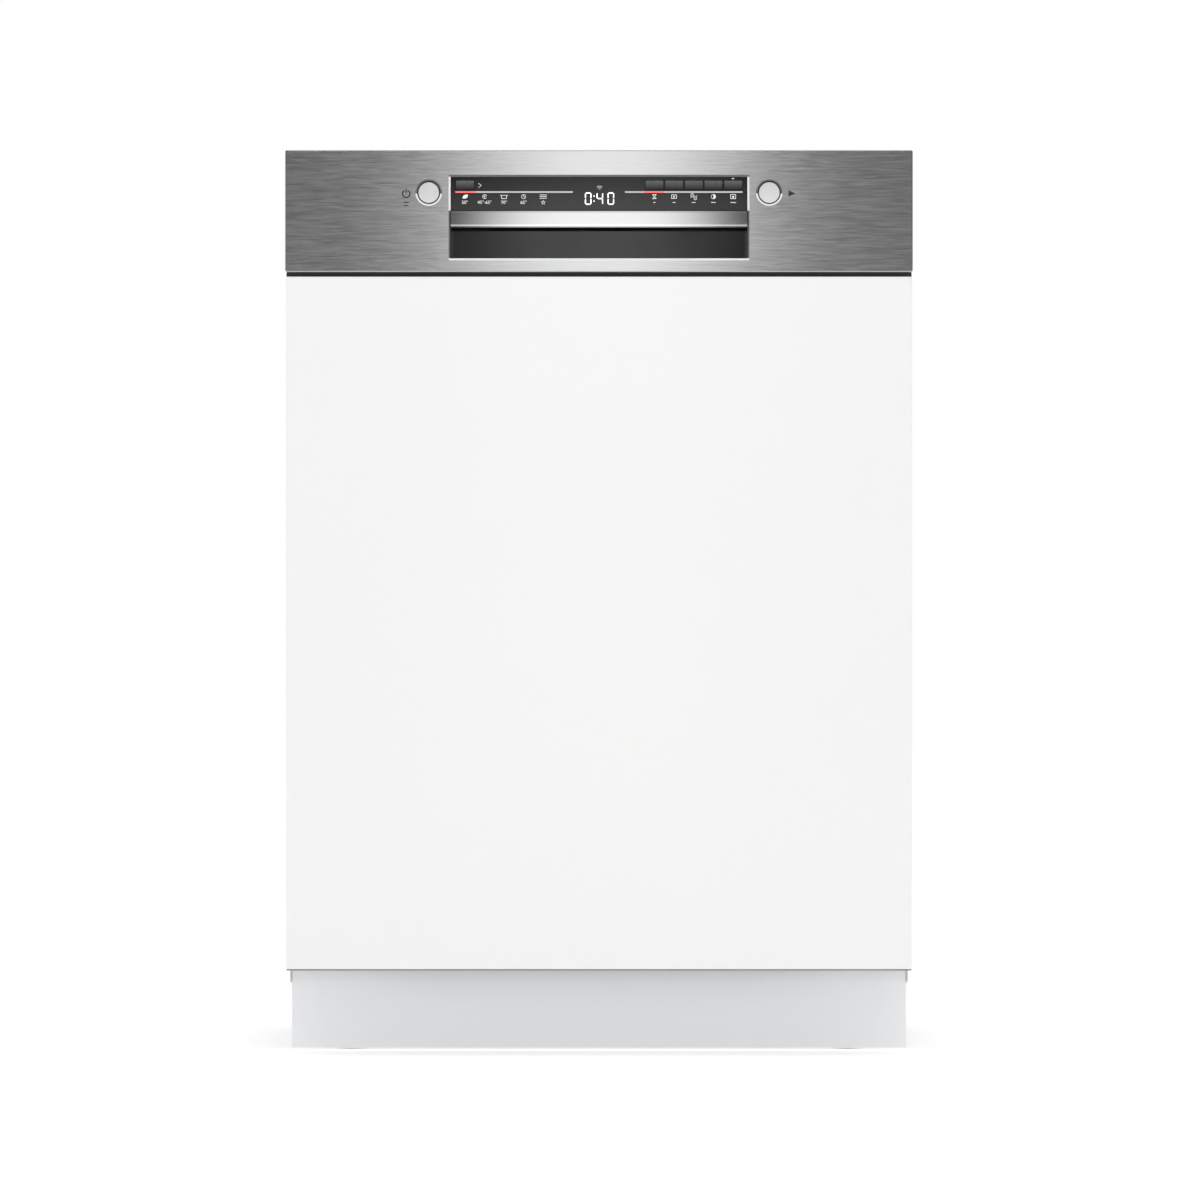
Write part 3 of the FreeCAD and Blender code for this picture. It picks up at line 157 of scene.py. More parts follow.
def brushed(name, color, roughness, stretch, contrast, anisotropy=0.0, depth=0.02):
    """Brushed metal: short streaks along the direction with the smallest stretch.

    With anisotropy the streaks run along X, which a turning door does not change.
    """
    paint = Paint(name, color, roughness, 1.0, Anisotropic=anisotropy)
    if anisotropy:
        paint.set("Anisotropic Rotation", 0.25)
        paint.set("Tangent", paint.node("ShaderNodeCombineXYZ", X=1.0, Y=0.0, Z=0.0).outputs[0])
    streaks = paint.noise(1.0, 5.0, 0.65, stretch)
    clouds = paint.spread(paint.noise(1.0, stretch=(9, 9, 30)), -0.06, 0.06)
    paint.tone(calculate(paint.tree, "ADD", streaks, clouds), 1 - contrast, 1 + contrast)
    paint.wear(streaks, contrast * 0.4, contrast * 0.5)
    paint.bump(streaks, 0.25, depth)


def moulded(name, color, roughness, grain=2600, depth=0.03, shine=0.35, wear=0.06):
    """Moulded plastic: fine spark-eroded grain and a slow change of tone."""
    paint = Paint(name, color, roughness, Specular_IOR_Level=shine)
    cloud = paint.noise(14, 3.0)
    paint.tone(cloud, 1 - wear, 1 + wear)
    paint.wear(cloud, 0.04, 0.06)
    paint.bump(paint.noise(grain), 0.25, depth)


def lacquer(name, color, roughness, painted_shadow_zone=None):
    """Sprayed lacquer with faint orange peel under a clear coat.

    A zone of heights in metres, if given, darkens the colour by a quarter towards its top: painted shadow.
    """
    paint = Paint(name, color, roughness, Coat_Weight=0.25, Coat_Roughness=0.18)
    cloud = paint.noise(5)
    if painted_shadow_zone:
        paint.tone(paint.height(), 1, 0.74, *painted_shadow_zone)
    else:
        paint.tone(cloud, 0.985, 1, 0.0, 1.0)
    paint.wear(cloud, 0.03, 0.04, 0.0, 1.0)
    paint.bump(paint.noise(420), 0.12, 0.02)


def gloss_with_painted_reflection(name, top, bottom, high, low, roughness, shine=0.25):
    """Dark glossy plastic whose tone changes with height, between two heights in metres: a painted
    reflection.
    """
    paint = Paint(name, top, roughness, Specular_IOR_Level=shine)
    paint.tint(paint.spread(paint.height(), 0.0, 1.0, low, high), bottom, top, 0.0, 1.0)
    paint.wear(paint.noise(160, 6.0, 0.7), 0, 0.05)
    paint.bump(paint.noise(1.0, stretch=(40, 40, 1400)), 0.06, 0.01)


def galvanised(name, color, roughness=0.42):
    """Zinc coated sheet with spangle."""
    paint = Paint(name, color, roughness, 0.85)
    cells = paint.node("ShaderNodeTexVoronoi", Vector=paint.place(), Scale=130.0).outputs["Color"]
    spangle = paint.node("ShaderNodeSeparateColor", Color=cells).outputs[0]
    paint.tone(spangle, 0.86, 1.08, 0.0, 1.0)
    paint.wear(spangle, 0.07, 0.09, 0.0, 1.0)
    paint.bump(paint.noise(300, 3.0), 0.15, 0.03)


def perforated(name, color, roughness, metallic, pitch):
    """Sheet with rows of fine holes painted dark as the shade inside them, pitch in metres."""
    paint = Paint(name, color, roughness, metallic)
    holes = paint.spread(paint.cells(pitch).outputs["Distance"], 0.0, 1.0, 0.24, 0.34)
    paint.tint(holes, grey(0.02), color, 0.0, 1.0)
    paint.wear(paint.noise(30, 3.0), 0.05, 0.08)
    paint.bump(holes, 0.5, 0.3)


def waffled(name, color, roughness, pitch):
    """Bitumen mat with an embossed grid of squares, pitch in metres; the grooves between the squares are
    painted darker: painted shade.
    """
    paint = Paint(name, color, roughness, Specular_IOR_Level=0.25)
    tiles = paint.cells(pitch)
    tiles.distance = "CHEBYCHEV"
    squares = paint.spread(tiles.outputs["Distance"], 1.0, 0.0, 0.36, 0.46)
    cloud = paint.noise(40, 5.0, 0.7)
    both = calculate(paint.tree, "ADD", squares, paint.spread(cloud, 0.0, 0.3))
    paint.tone(both, 0.7, 1.9, 0.0, 1.3)
    paint.wear(cloud, 0.08, 0.08)
    paint.bump(both, 0.6, 0.6)


def soft_rubber(name, color, roughness=0.75):
    paint = Paint(name, color, roughness, Specular_IOR_Level=0.25)
    dust = paint.noise(60, 5.0, 0.7)
    paint.tone(dust, 1, 1.8, 0.4, 0.85)
    paint.wear(dust, 0.08, 0.08)
    paint.bump(paint.noise(1800), 0.35, 0.05)


def printed(name, color, glow=0.0):
    """Screen printed ink with slightly uneven cover; glow for lit marks."""
    paint = Paint(name, color, 0.55)
    cover = paint.noise(1500)
    paint.tone(cover, 0.9, 1)
    paint.wear(cover, 0.05, 0.05)
    if glow:
        paint.set("Emission Color", (*color, 1))
        paint.set("Emission Strength", glow)


brushed("fascia_steel", (0.415, 0.418, 0.418), 0.20, (55, 110, 1000), 0.07, 0.85, 0.002)
brushed("bar_steel", grey(0.43), 0.09, (3, 200, 2600), 0.03, 0.6, 0.001)
# Dark steel for the rims' downward and inward faces: painted shade.
brushed("rim_painted_shade", grey(0.16), 0.42, (60, 60, 60), 0.05, 0.0, 0.004)
brushed("stainless", (0.66, 0.66, 0.65), 0.24, (7, 500, 700), 0.06, 0.4, 0.015)
brushed("tub_steel", (0.63, 0.63, 0.62), 0.28, (500, 5, 700), 0.06, 0.0, 0.015)
brushed("spring_steel", (0.50, 0.50, 0.51), 0.32, (700, 700, 700), 0.08)
# Near-white lacquer for the rims' upward and lit faces: painted highlight on the steel.
lacquer("rim_painted_highlight", grey(0.93), 0.25)
lacquer("black_pan", (0.018, 0.018, 0.020), 0.45)
lacquer("white_lacquer", (0.92, 0.92, 0.915), 0.30)
# The plinth's colour darkens towards its top edge: painted shadow of the door board above it.
lacquer("plinth_white", (0.95, 0.96, 0.975), 0.45, (0.064, 0.088))
# Dark grey for the board's lower edge: painted shade.
lacquer("edge_painted_shade", grey(0.20), 0.50)
moulded("satin_silver", grey(0.66), 0.28, grain=1800, depth=0.004, wear=0.02)
moulded("black_moulding", grey(0.003), 0.09, grain=3200, depth=0.002, shine=0.4)
moulded("coated_wire", (0.50, 0.52, 0.54), 0.36, grain=900, depth=0.05)
moulded("base_plastic", (0.035, 0.036, 0.040), 0.50)
moulded("grey_plastic", (0.34, 0.36, 0.39), 0.42)
moulded("light_plastic", (0.62, 0.63, 0.64), 0.40)
moulded("white_plastic", (0.80, 0.80, 0.78), 0.45)
moulded("blue_plastic", (0.10, 0.25, 0.42), 0.40)
# Near black for holes, slots, wells and button stems deep in their holes: painted shade.
moulded("hole_painted_shade", grey(0.010), 0.60)
moulded("circuit_board", (0.02, 0.13, 0.06), 0.35)
# The display window is painted lighter towards its bottom and the keys lighter towards their top: painted
# reflections.
gloss_with_painted_reflection("black_gloss", grey(0.005), grey(0.038), 0.8386, 0.8062, 0.10)
gloss_with_painted_reflection("key_gloss", grey(0.13), grey(0.006), 0.8352, 0.8264, 0.25)
galvanised("galvanised", (0.60, 0.62, 0.63))
soft_rubber("seal_rubber", (0.045, 0.045, 0.048))
waffled("bitumen", (0.030, 0.030, 0.032), 0.70, 0.022)
perforated("filter_sheet", (0.60, 0.60, 0.59), 0.30, 1.0, 0.0032)
perforated("filter_mesh", (0.42, 0.44, 0.46), 0.42, 0.0, 0.0016)
printed("white_print", grey(0.85), 0.25)
printed("lit_digit", grey(1.0), 1.1)
printed("red_light", (0.95, 0.13, 0.12), 0.55)
printed("line_print", (0.55, 0.55, 0.54), 0.12)
printed("dark_print", grey(0.02))


# ---- mesh helpers

def turning(degrees, axis):
    return Matrix.Rotation(radians(degrees), 4, axis)


FRONT, BACK = turning(90, "X"), turning(-90, "X")      # local +Z points out of the front or the back
FACING = {                                             # turns a piece drawn facing -Y
    "-y": turning(0, "Z"),
    "+y": turning(180, "Z"),
    "+x": turning(90, "Z"),
    "-x": turning(-90, "Z"),
    "+z": turning(-90, "X"),
}


def put(name, data):
    """A new object in the scene."""
    item = bpy.data.objects.new(name, data)
    bpy.context.scene.collection.objects.link(item)
    return item


def finish_mesh(name, build, look, body, replaces=(), smooth=40.0, bevel=0.0, facing="-y"):
    """Turn a bmesh into a piece that rides on a body and may stand for CAD nodes."""
    build.transform(FACING[facing])
    mesh = bpy.data.meshes.new(name)
    bmesh.ops.recalc_face_normals(build, faces=build.faces)
    build.to_mesh(mesh)
    build.free()
    item = put(name, mesh)
    mesh.materials.append(LOOKS[look])
    if bevel:
        round_off(item, bevel)
    mesh.shade_smooth()
    mesh.set_sharp_from_angle(angle=radians(smooth))
    even_normals(item)
    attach(item, body)
    if replaces:
        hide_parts(*replaces)


def even_normals(item):
    """Flat faces keep flat shading beside their rounded edges."""
    even = item.modifiers.new("normals", "WEIGHTED_NORMAL")
    even.keep_sharp = True
    even.weight = 80


def round_off(item, width, weld=False):
    """Small rounded edges by modifier."""
    if weld:
        join = item.modifiers.new("weld", "WELD")
        join.merge_threshold = 0.01 * MM
    edge = item.modifiers.new("bevel", "BEVEL")
    edge.width = width * MM
    edge.segments = 2
    edge.limit_method = "ANGLE"
    edge.angle_limit = radians(40)
    edge.harden_normals = True


def add_box(build, low, high):
    """A block between two corners, in millimetres."""
    low, high = Vector(low) * MM, Vector(high) * MM
    made = bmesh.ops.create_cube(build, size=1)["verts"]
    size = high - low
    bmesh.ops.transform(build, verts=made, matrix=Matrix.Translation((low + high) / 2)
                        @ Matrix.Diagonal((*size, 1)))
    return made


def around(radius, angle, x=0.0, z=0.0):
    """The point at an angle on a circle."""
    return x + radius * cos(angle), z + radius * sin(angle)


def add_lathe(build, profile, centre, turn=None, steps=48):
    """A turned form: (radius, height) pairs in millimetres about a centre, +Z up unless turned."""
    matrix = Matrix.Translation(Vector(centre) * MM) @ (turn or Matrix.Identity(4))
    rings = []
    for radius, height in profile:
        points = [around(radius, tau * n / steps) for n in range(steps if radius else 1)]
        rings.append([build.verts.new(matrix @ Vector((x * MM, y * MM, height * MM))) for x, y in points])
    skin(build, rings)


def bridge(build, first, second):
    """Faces between two closed rings; either may be a single point."""
    count = max(len(first), len(second))
    for n in range(count):
        after = (n + 1) % count
        corners = [first[n % len(first)], first[after % len(first)],
                   second[after % len(second)], second[n % len(second)]]
        corners = list(dict.fromkeys(corners))
        if len(corners) > 2:
            build.faces.new(corners)


def skin(build, rings, ends=False):
    """Faces along a row of rings, and over its two ends if asked."""
    for first, second in zip(rings, rings[1:]):
        bridge(build, first, second)
    if ends:
        build.faces.new(rings[0])
        build.faces.new(rings[-1])


def rounded_rectangle(edges, radius, inset=0.0, steps=5):
    """Corner points of a rounded rectangle, drawn in from (left, low, right, high), in millimetres."""
    left, low, right, high = edges
    reach = radius + inset
    points = []
    for x, z, start in ((right - reach, low + reach, -90), (right - reach, high - reach, 0),
                        (left + reach, high - reach, 90), (left + reach, low + reach, 180)):
        points += [around(radius, radians(start + 90 * n / steps), x, z) for n in range(steps + 1)]
    return points


def rounding(radius):
    """Insets and depths along a quarter round edge."""
    angles = [radians(angle) for angle in (0, 30, 60, 90)]
    return [(radius * (1 - sin(angle)), radius * (1 - cos(angle))) for angle in angles]


def circle(x, z, radius, steps=64):
    return [around(radius, tau * n / steps, x, z) for n in range(steps)]


def ring_at(build, points, y):
    """A closed ring of vertices in the plane y, from (x, z) points in millimetres."""
    return [build.verts.new((x * MM, y * MM, z * MM)) for x, z in points]


def fill(build, outer, holes=()):
    """Triangles between an outer ring and inner rings of vertices."""
    loops = [outer, *holes]
    corners = [vertex for loop in loops for vertex in loop]
    for triangle in tessellate_polygon([[vertex.co for vertex in loop] for loop in loops]):
        build.faces.new([corners[n] for n in triangle])


def add_wire(build, points, radius, bend, sides):
    """A round wire along points in millimetres, its corners bent to a radius."""
    path = bent_path([Vector(point) for point in points], bend)
    rings = []
    normal = None
    for n, point in enumerate(path):
        direction = (path[min(n + 1, len(path) - 1)] - path[max(n - 1, 0)]).normalized()
        if normal is None:
            normal = direction.orthogonal().normalized()
        normal = (normal - direction * normal.dot(direction)).normalized()
        side = direction.cross(normal)
        offsets = [around(radius, tau * k / sides) for k in range(sides)]
        rings.append([build.verts.new((point + normal * out + side * over) * MM) for out, over in offsets])
    skin(build, rings, ends=True)


def bent_path(points, bend, steps=5):
    """The same path with each inner corner replaced by an arc."""
    path = [points[0]]
    for before, corner, after in zip(points, points[1:], points[2:]):
        back, ahead = before - corner, after - corner
        reach = min(bend, back.length * 0.45, ahead.length * 0.45)
        start, end = corner + back.normalized() * reach, corner + ahead.normalized() * reach
        for part in [k / steps for k in range(steps + 1)]:
            path.append(start.lerp(corner, part).lerp(corner.lerp(end, part), part))
    return path + [points[-1]]


def blocks(name, corners, look, body, replaces=(), bevel=0.6, facing="-y"):
    """A piece made of rounded blocks."""
    build = bmesh.new()
    for low, high in corners:
        add_box(build, low, high)
    finish_mesh(name, build, look, body, replaces, bevel=bevel, facing=facing)


def turned(name, profile, centre, look, body, turn=None, steps=48, smooth=40):
    """A piece turned on a lathe."""
    build = bmesh.new()
    add_lathe(build, profile, centre, turn, steps)
    finish_mesh(name, build, look, body, smooth=smooth)


def add_bead(build, edges, radius, face, rise, slope):
    """A pressed field with sloped sides, standing off a face by a rise."""
    steps = ((0, face + 0.02), (slope * 0.3, face - rise * 0.15), (slope * 0.7, face - rise * 0.85),
             (slope, face - rise))
    rings = [ring_at(build, rounded_rectangle(edges, max(0.5, radius - inset), inset), depth)
             for inset, depth in steps]
    skin(build, rings)
    fill(build, rings[-1])


def beads(name, fields, radius, face, rise, slope, look, body, facing):
    build = bmesh.new()
    for edges in fields:
        add_bead(build, edges, radius, face, rise, slope)
    finish_mesh(name, build, look, body, smooth=35, facing=facing)


def corners_mm(node):
    """A node's low and high corner in millimetres."""
    return [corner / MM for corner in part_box(node)]


def middle_mm(node):
    low, high = corners_mm(node)
    return (low + high) / 2


# ---- carried-over CAD nodes

CARRIED = {
    "black_moulding": ["fascia_carrier"],
    "black_gloss": ["display_window"],
    "black_pan": ["outer_door_sheet"],
    "stainless": ["inner_door_liner", "upper_rack_guide_rails", "upper_rack_runners",
                  "door_screws", "latch_strike"],
    "tub_steel": ["tub_shell", "tub_rear_wall", "tub_floor"],
    "filter_sheet": ["flat_filter"],
    "filter_mesh": ["filter_cylinder"],
    "galvanised": ["side_panel_left", "side_panel_right", "top_cross_rail", "hinge_brackets",
                   "door_hinge_arms"],
    "seal_rubber": ["door_gasket"],
    "base_plastic": ["base_tray", "foot_front_left", "foot_front_right", "foot_rear", "door_lock",
                     "mains_terminal_box", "circulation_pump"],
    "grey_plastic": ["detergent_dispenser", "spray_riser_pipe", "lower_spray_arm", "upper_spray_arm",
                     "cutlery_basket", "lower_rack_front_wheels",
                     "lower_rack_rear_wheels", "sump_housing", "drain_pump"],
    "light_plastic": ["detergent_lid", "cup_shelf"],
    "blue_plastic": ["rinse_aid_cap"],
    "white_plastic": ["water_softener", "salt_cap", "heat_exchanger", "water_inlet_valve"],
    "coated_wire": ["lower_rack", "lower_rack_folding_tines", "upper_rack"],
    "bitumen": ["sound_mats"],
    "circuit_board": ["control_board"],
    "spring_steel": ["door_springs"],
    "fascia_steel": ["fascia_panel"],
    "bar_steel": ["handle_bar"],
    "satin_silver": ["power_button", "start_button"],
    "key_gloss": ["programme_button"] + [f"option_button_{n}" for n in range(1, 6)],
    "white_lacquer": ["furniture_panel"],
    "plinth_white": ["plinth_panel"],
}
SOFT_EDGES = {"detergent_dispenser": 0.8, "detergent_lid": 0.6, "rinse_aid_cap": 0.6, "base_tray": 1.0,
              "cutlery_basket": 0.5, "salt_cap": 0.7, "water_softener": 1.5, "heat_exchanger": 1.2,
              "spray_riser_pipe": 1.5, "circulation_pump": 1.0, "drain_pump": 0.8, "sump_housing": 1.0,
              "mains_terminal_box": 1.2, "water_inlet_valve": 1.0, "door_lock": 0.8, "cup_shelf": 0.6,
              "fascia_carrier": 0.4, "display_window": 0.25, "filter_cylinder": 0.4}


def dress_nodes():
    for look, names in CARRIED.items():
        for name in names:
            mesh = NODES[name].data
            mesh.materials.clear()
            mesh.materials.append(LOOKS[look])
            if name in SOFT_EDGES:
                round_off(NODES[name], SOFT_EDGES[name], weld=True)


# ---- control fascia

FASCIA_LOW, FASCIA_HIGH = corners_mm("fascia_panel")
FACE = FASCIA_LOW.y
WINDOW_LOW = corners_mm("display_window")[0]
BAR_LOW, BAR_HIGH = corners_mm("handle_bar")
RIM = 1.9                                        # width of the sloped rim round the recess
RECESS = (BAR_LOW.x - RIM, 759.0, BAR_HIGH.x + RIM, 840.5)
BUTTON_X = middle_mm("start_button").x
BUTTON_Z = middle_mm("power_button").z
HOLE_OUTER, HOLE_INNER, CAP_RADIUS = 12.5, 11.0, 9.9
HOLE_EDGE = HOLE_OUTER + 0.15                    # where the seat meets the steel
SEAT_SPLIT = BUTTON_Z - 1.5                      # height where the seat turns from painted highlight to painted shade


def fascia_front():
    """Bent steel front: rounded folds, returns, the recess opening and two button holes."""
    build = bmesh.new()
    edges, corner, sheet = (FASCIA_LOW.x, FASCIA_LOW.z, FASCIA_HIGH.x, FASCIA_HIGH.z), 1.4, 0.25
    outer = [ring_at(build, rounded_rectangle(edges, corner, inset), FACE + depth)
             for inset, depth in rounding(1.1)]
    outer.append(ring_at(build, rounded_rectangle(edges, corner), FASCIA_HIGH.y))
    skin(build, outer)
    cuts = [rounded_rectangle(RECESS, 1.2)]
    cuts += [circle(side * BUTTON_X, BUTTON_Z, HOLE_EDGE) for side in (-1, 1)]
    fronts = [ring_at(build, points, FACE) for points in cuts]
    fill(build, outer[0], fronts)
    for points, front in zip(cuts, fronts):
        bridge(build, front, ring_at(build, points, FACE + sheet))
    finish_mesh("fascia_front", build, "fascia_steel", "door", ["fascia_panel"], smooth=25)


def split_by(build, keep):
    """Leave only the faces whose middle height in millimetres passes a test."""
    lost = [face for face in build.faces if not keep(face.calc_center_median().z / MM)]
    bmesh.ops.delete(build, geom=lost, context="FACES")


def recess_rim():
    """Sloped collar round the recess, one steel collar in two paints: painted highlight beside the display
    and along the bottom, painted shade elsewhere.
    """
    steps = ((0.0, 0.0), (0.25, -0.12), (0.6, -0.05), (RIM, 1.0), (RIM, 1.6))
    levels = (RECESS[1] + RIM, WINDOW_LOW.z, RECESS[3] - RIM)
    for name, look, wanted in (("recess_rim", "rim_painted_highlight", True), ("recess_rim_painted_shade", "rim_painted_shade", False)):
        build = bmesh.new()
        rings = [rounded_rectangle(RECESS, max(0.4, 1.2 - inset * 0.3), inset) for inset, depth in steps]
        skin(build, [ring_at(build, ring, FACE + depth) for ring, (inset, depth) in zip(rings, steps)])
        for level in levels:
            bmesh.ops.bisect_plane(build, geom=build.verts[:] + build.edges[:] + build.faces[:],
                                   plane_co=(0, 0, level * MM), plane_no=(0, 0, 1))
        split_by(build, lambda z: (z < levels[0] or levels[1] < z < levels[2]) == wanted)
        finish_mesh(name, build, look, "door", smooth=60)


def button_rims():
    """Conical seats of the two round buttons: a lower half with painted highlight, an upper half with painted
    shade, and a well painted near black as the shade inside the hole.
    """
    cone = [(HOLE_EDGE, 0.0), (HOLE_OUTER, 0.08), (HOLE_OUTER - 0.15, 0.0), (HOLE_INNER, -1.0)]
    well = [(HOLE_INNER, -1.0), (HOLE_INNER, -3.4)]
    for side, name in ((-1, "power_button_seat"), (1, "start_button_seat")):
        for part, look, profile, test in (("low", "rim_painted_highlight", cone, lambda z: z < SEAT_SPLIT),
                                          ("high", "rim_painted_shade", cone, lambda z: z >= SEAT_SPLIT),
                                          ("well", "hole_painted_shade", well, lambda z: True)):
            build = bmesh.new()
            add_lathe(build, profile, (side * BUTTON_X, FACE, BUTTON_Z), FRONT, 72)
            split_by(build, test)
            finish_mesh(f"{name}_{part}", build, look, "door", smooth=60)


def round_caps():
    """Satin domed caps of the power and start buttons on stems painted near black as shade."""
    crown, stem_radius = 1.1, HOLE_INNER + 1
    dome = [(0, crown)] + [(CAP_RADIUS * 0.92 * n / 8, crown - (n / 8) ** 2) for n in range(1, 9)]
    dome += [(CAP_RADIUS - 0.3, -0.25), (CAP_RADIUS, -0.7), (CAP_RADIUS, -2.2)]
    stem = [(CAP_RADIUS, -2.2), (CAP_RADIUS, -4.1), (stem_radius, -4.1), (stem_radius, -5.9),
            (4, -5.9), (4, -24.5), (0, -24.5)]
    for side, body in ((-1, "power_button"), (1, "start_button")):
        centre = (side * BUTTON_X, FACE, BUTTON_Z)
        build = bmesh.new()
        add_lathe(build, dome, centre, FRONT, 72)
        finish_mesh(f"{body}_cap", build, "satin_silver", body, [body], smooth=50)
        turned(f"{body}_stem", stem, centre, "hole_painted_shade", body, turn=FRONT)


def pull_bar():
    """Crowned bar, bowed a little outwards in the middle, with a thin lip along both edges."""
    build = bmesh.new()
    low, high = BAR_LOW, BAR_HIGH
    steps, margin = 48, 1.6
    lip = [(1.0, 0), (0.1, 0.25), (0.1, 0.9), (0.7, 1.2)]
    rings = []
    for n in range(steps + 1):
        x = low.x + (high.x - low.x) * n / steps
        face = low.y + 0.4 - 0.3 * (1 - (2 * n / steps - 1) ** 4)
        profile = [(high.y, low.z)] + [(face + deep, low.z + up) for deep, up in lip]
        for part in [k / 8 for k in range(9)]:
            profile.append((face + 0.55 - 0.15 * sin(pi * part),
                            low.z + margin + (high.z - low.z - 2 * margin) * part))
        profile += [(face + deep, high.z - up) for deep, up in reversed(lip)] + [(high.y, high.z)]
        rings.append([build.verts.new((x * MM, y * MM, z * MM)) for y, z in profile])
    skin(build, rings, ends=True)
    finish_mesh("pull_bar", build, "bar_steel", "door", ["handle_bar"], smooth=50)


def window_keys():
    """Flat gloss keys with a crowned face, one per body."""
    half, tall = 8.7, 4.4
    for body in CARRIED["key_gloss"]:
        middle, face, back = middle_mm(body), corners_mm(body)[0].y, corners_mm(body)[1].y
        edges = (middle.x - half, middle.z - tall, middle.x + half, middle.z + tall)
        build = bmesh.new()
        rings = [ring_at(build, rounded_rectangle(edges, 0.8, inset), face + depth)
                 for inset, depth in ((1.2, 0.0), (0.5, 0.12), (0.1, 0.45), (0.0, 0.9), (0.0, 3.9))]
        skin(build, rings)
        fill(build, rings[0])
        plate = (half + 0.4, tall + 0.8, face + 4.0, face + 5.0)
        plunger = (2, 2, face + 5.0, back)
        for wide, up, start, end in (plate, plunger):
            add_box(build, (middle.x - wide, start, middle.z - up), (middle.x + wide, end, middle.z + up))
        finish_mesh(f"{body}_key", build, "key_gloss", body, [body], smooth=50)


# ---- printed marks

LINE_LOW, LINE_HIGH = 823.4, 824.9               # the window's indicator line
PRINT_DEPTH = 0.06                               # ink stands this far in front of its surface


def shifted(x, z, *points):
    """The same points round another centre."""
    return [(x + across, z + up) for across, up in points]


class Marks:
    """Flat marks collected into one mesh in a plane y."""

    def __init__(self, y):
        self.build = bmesh.new()
        self.y = y

    def shape(self, points, holes=()):
        outer = ring_at(self.build, points, self.y)
        fill(self.build, outer, [ring_at(self.build, hole, self.y) for hole in holes])

    def bar(self, left, low, right, high):
        self.shape([(left, low), (right, low), (right, high), (left, high)])

    def stroke(self, points, width, closed=False):
        """A line of even width through points, its ends carried on a little."""
        for (x0, z0), (x1, z1) in zip(points, points[1:] + points[:closed]):
            stretch = width / hypot(x1 - x0, z1 - z0)
            run, rise = (x1 - x0) * stretch, (z1 - z0) * stretch
            self.shape([(x + on * run - over * rise, z + on * rise + over * run)
                        for x, z, on, over in ((x0, z0, -0.3, -0.5), (x1, z1, 0.3, -0.5), (x1, z1, 0.3, 0.5),
                                               (x0, z0, -0.3, 0.5))])

    def arc(self, x, z, radius, start, end, width, steps=20):
        angles = [radians(start + (end - start) * n / steps) for n in range(steps + 1)]
        self.stroke([around(radius, angle, x, z) for angle in angles], width)

    def disc(self, x, z, radius):
        self.shape(circle(x, z, radius, 24))

    def text(self, words, x, z, size):
        """Numerals centred on a point."""
        curve = bpy.data.curves.new("numerals", "FONT")
        curve.body = words
        curve.size = size * MM
        curve.align_x = curve.align_y = "CENTER"
        item = put("numerals", curve)
        bpy.context.view_layer.update()
        mesh = bpy.data.meshes.new_from_object(item)
        mesh.transform(Matrix.Translation((x * MM, self.y * MM, z * MM)) @ FRONT)
        self.build.from_mesh(mesh)
        bpy.data.objects.remove(item)
        bpy.data.curves.remove(curve)
        bpy.data.meshes.remove(mesh)

    def done(self, name, look, facing="-y"):
        """Flat ink needs no thickness, so its faces only have to look the same way."""
        for face in self.build.faces:
            face.normal_update()
            if face.normal.y > 0:
                face.normal_flip()
        self.build.transform(FACING[facing])
        mesh = bpy.data.meshes.new(name)
        self.build.to_mesh(mesh)
        self.build.free()
        mesh.materials.append(LOOKS[look])
        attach(put(name, mesh), "door")


SEGMENTS = {"0": "abcdef", "4": "bcfg"}          # lit segments of each digit used


def seven_segment(marks, digit, x, z, wide, tall, thick):
    """One seven-segment digit centred on a point: upright pointed bars with gaps."""
    half, up, gap, point = wide / 2, tall / 2, thick * 0.28, thick / 2
    places = {"a": (-half, up, half, up), "g": (-half, 0, half, 0), "d": (-half, -up, half, -up),
              "f": (-half, 0, -half, up), "b": (half, 0, half, up),
              "e": (-half, -up, -half, 0), "c": (half, -up, half, 0)}
    for x0, z0, x1, z1 in [places[name] for name in SEGMENTS[digit]]:
        far = x1 - x0 + z1 - z0 - gap
        outline = [(gap, 0), (gap + point, -point), (far - point, -point), (far, 0), (far - point, point),
                   (gap + point, point)]
        if x0 == x1:
            outline = [(-over, run) for run, over in outline]
        marks.shape(shifted(x + x0, z + z0, *outline))


def star(x, z, radius):
    return [(x + radius * (1 if n % 2 == 0 else 0.42) * sin(pi * n / 5),
             z + radius * (1 if n % 2 == 0 else 0.42) * cos(pi * n / 5)) for n in range(10)]


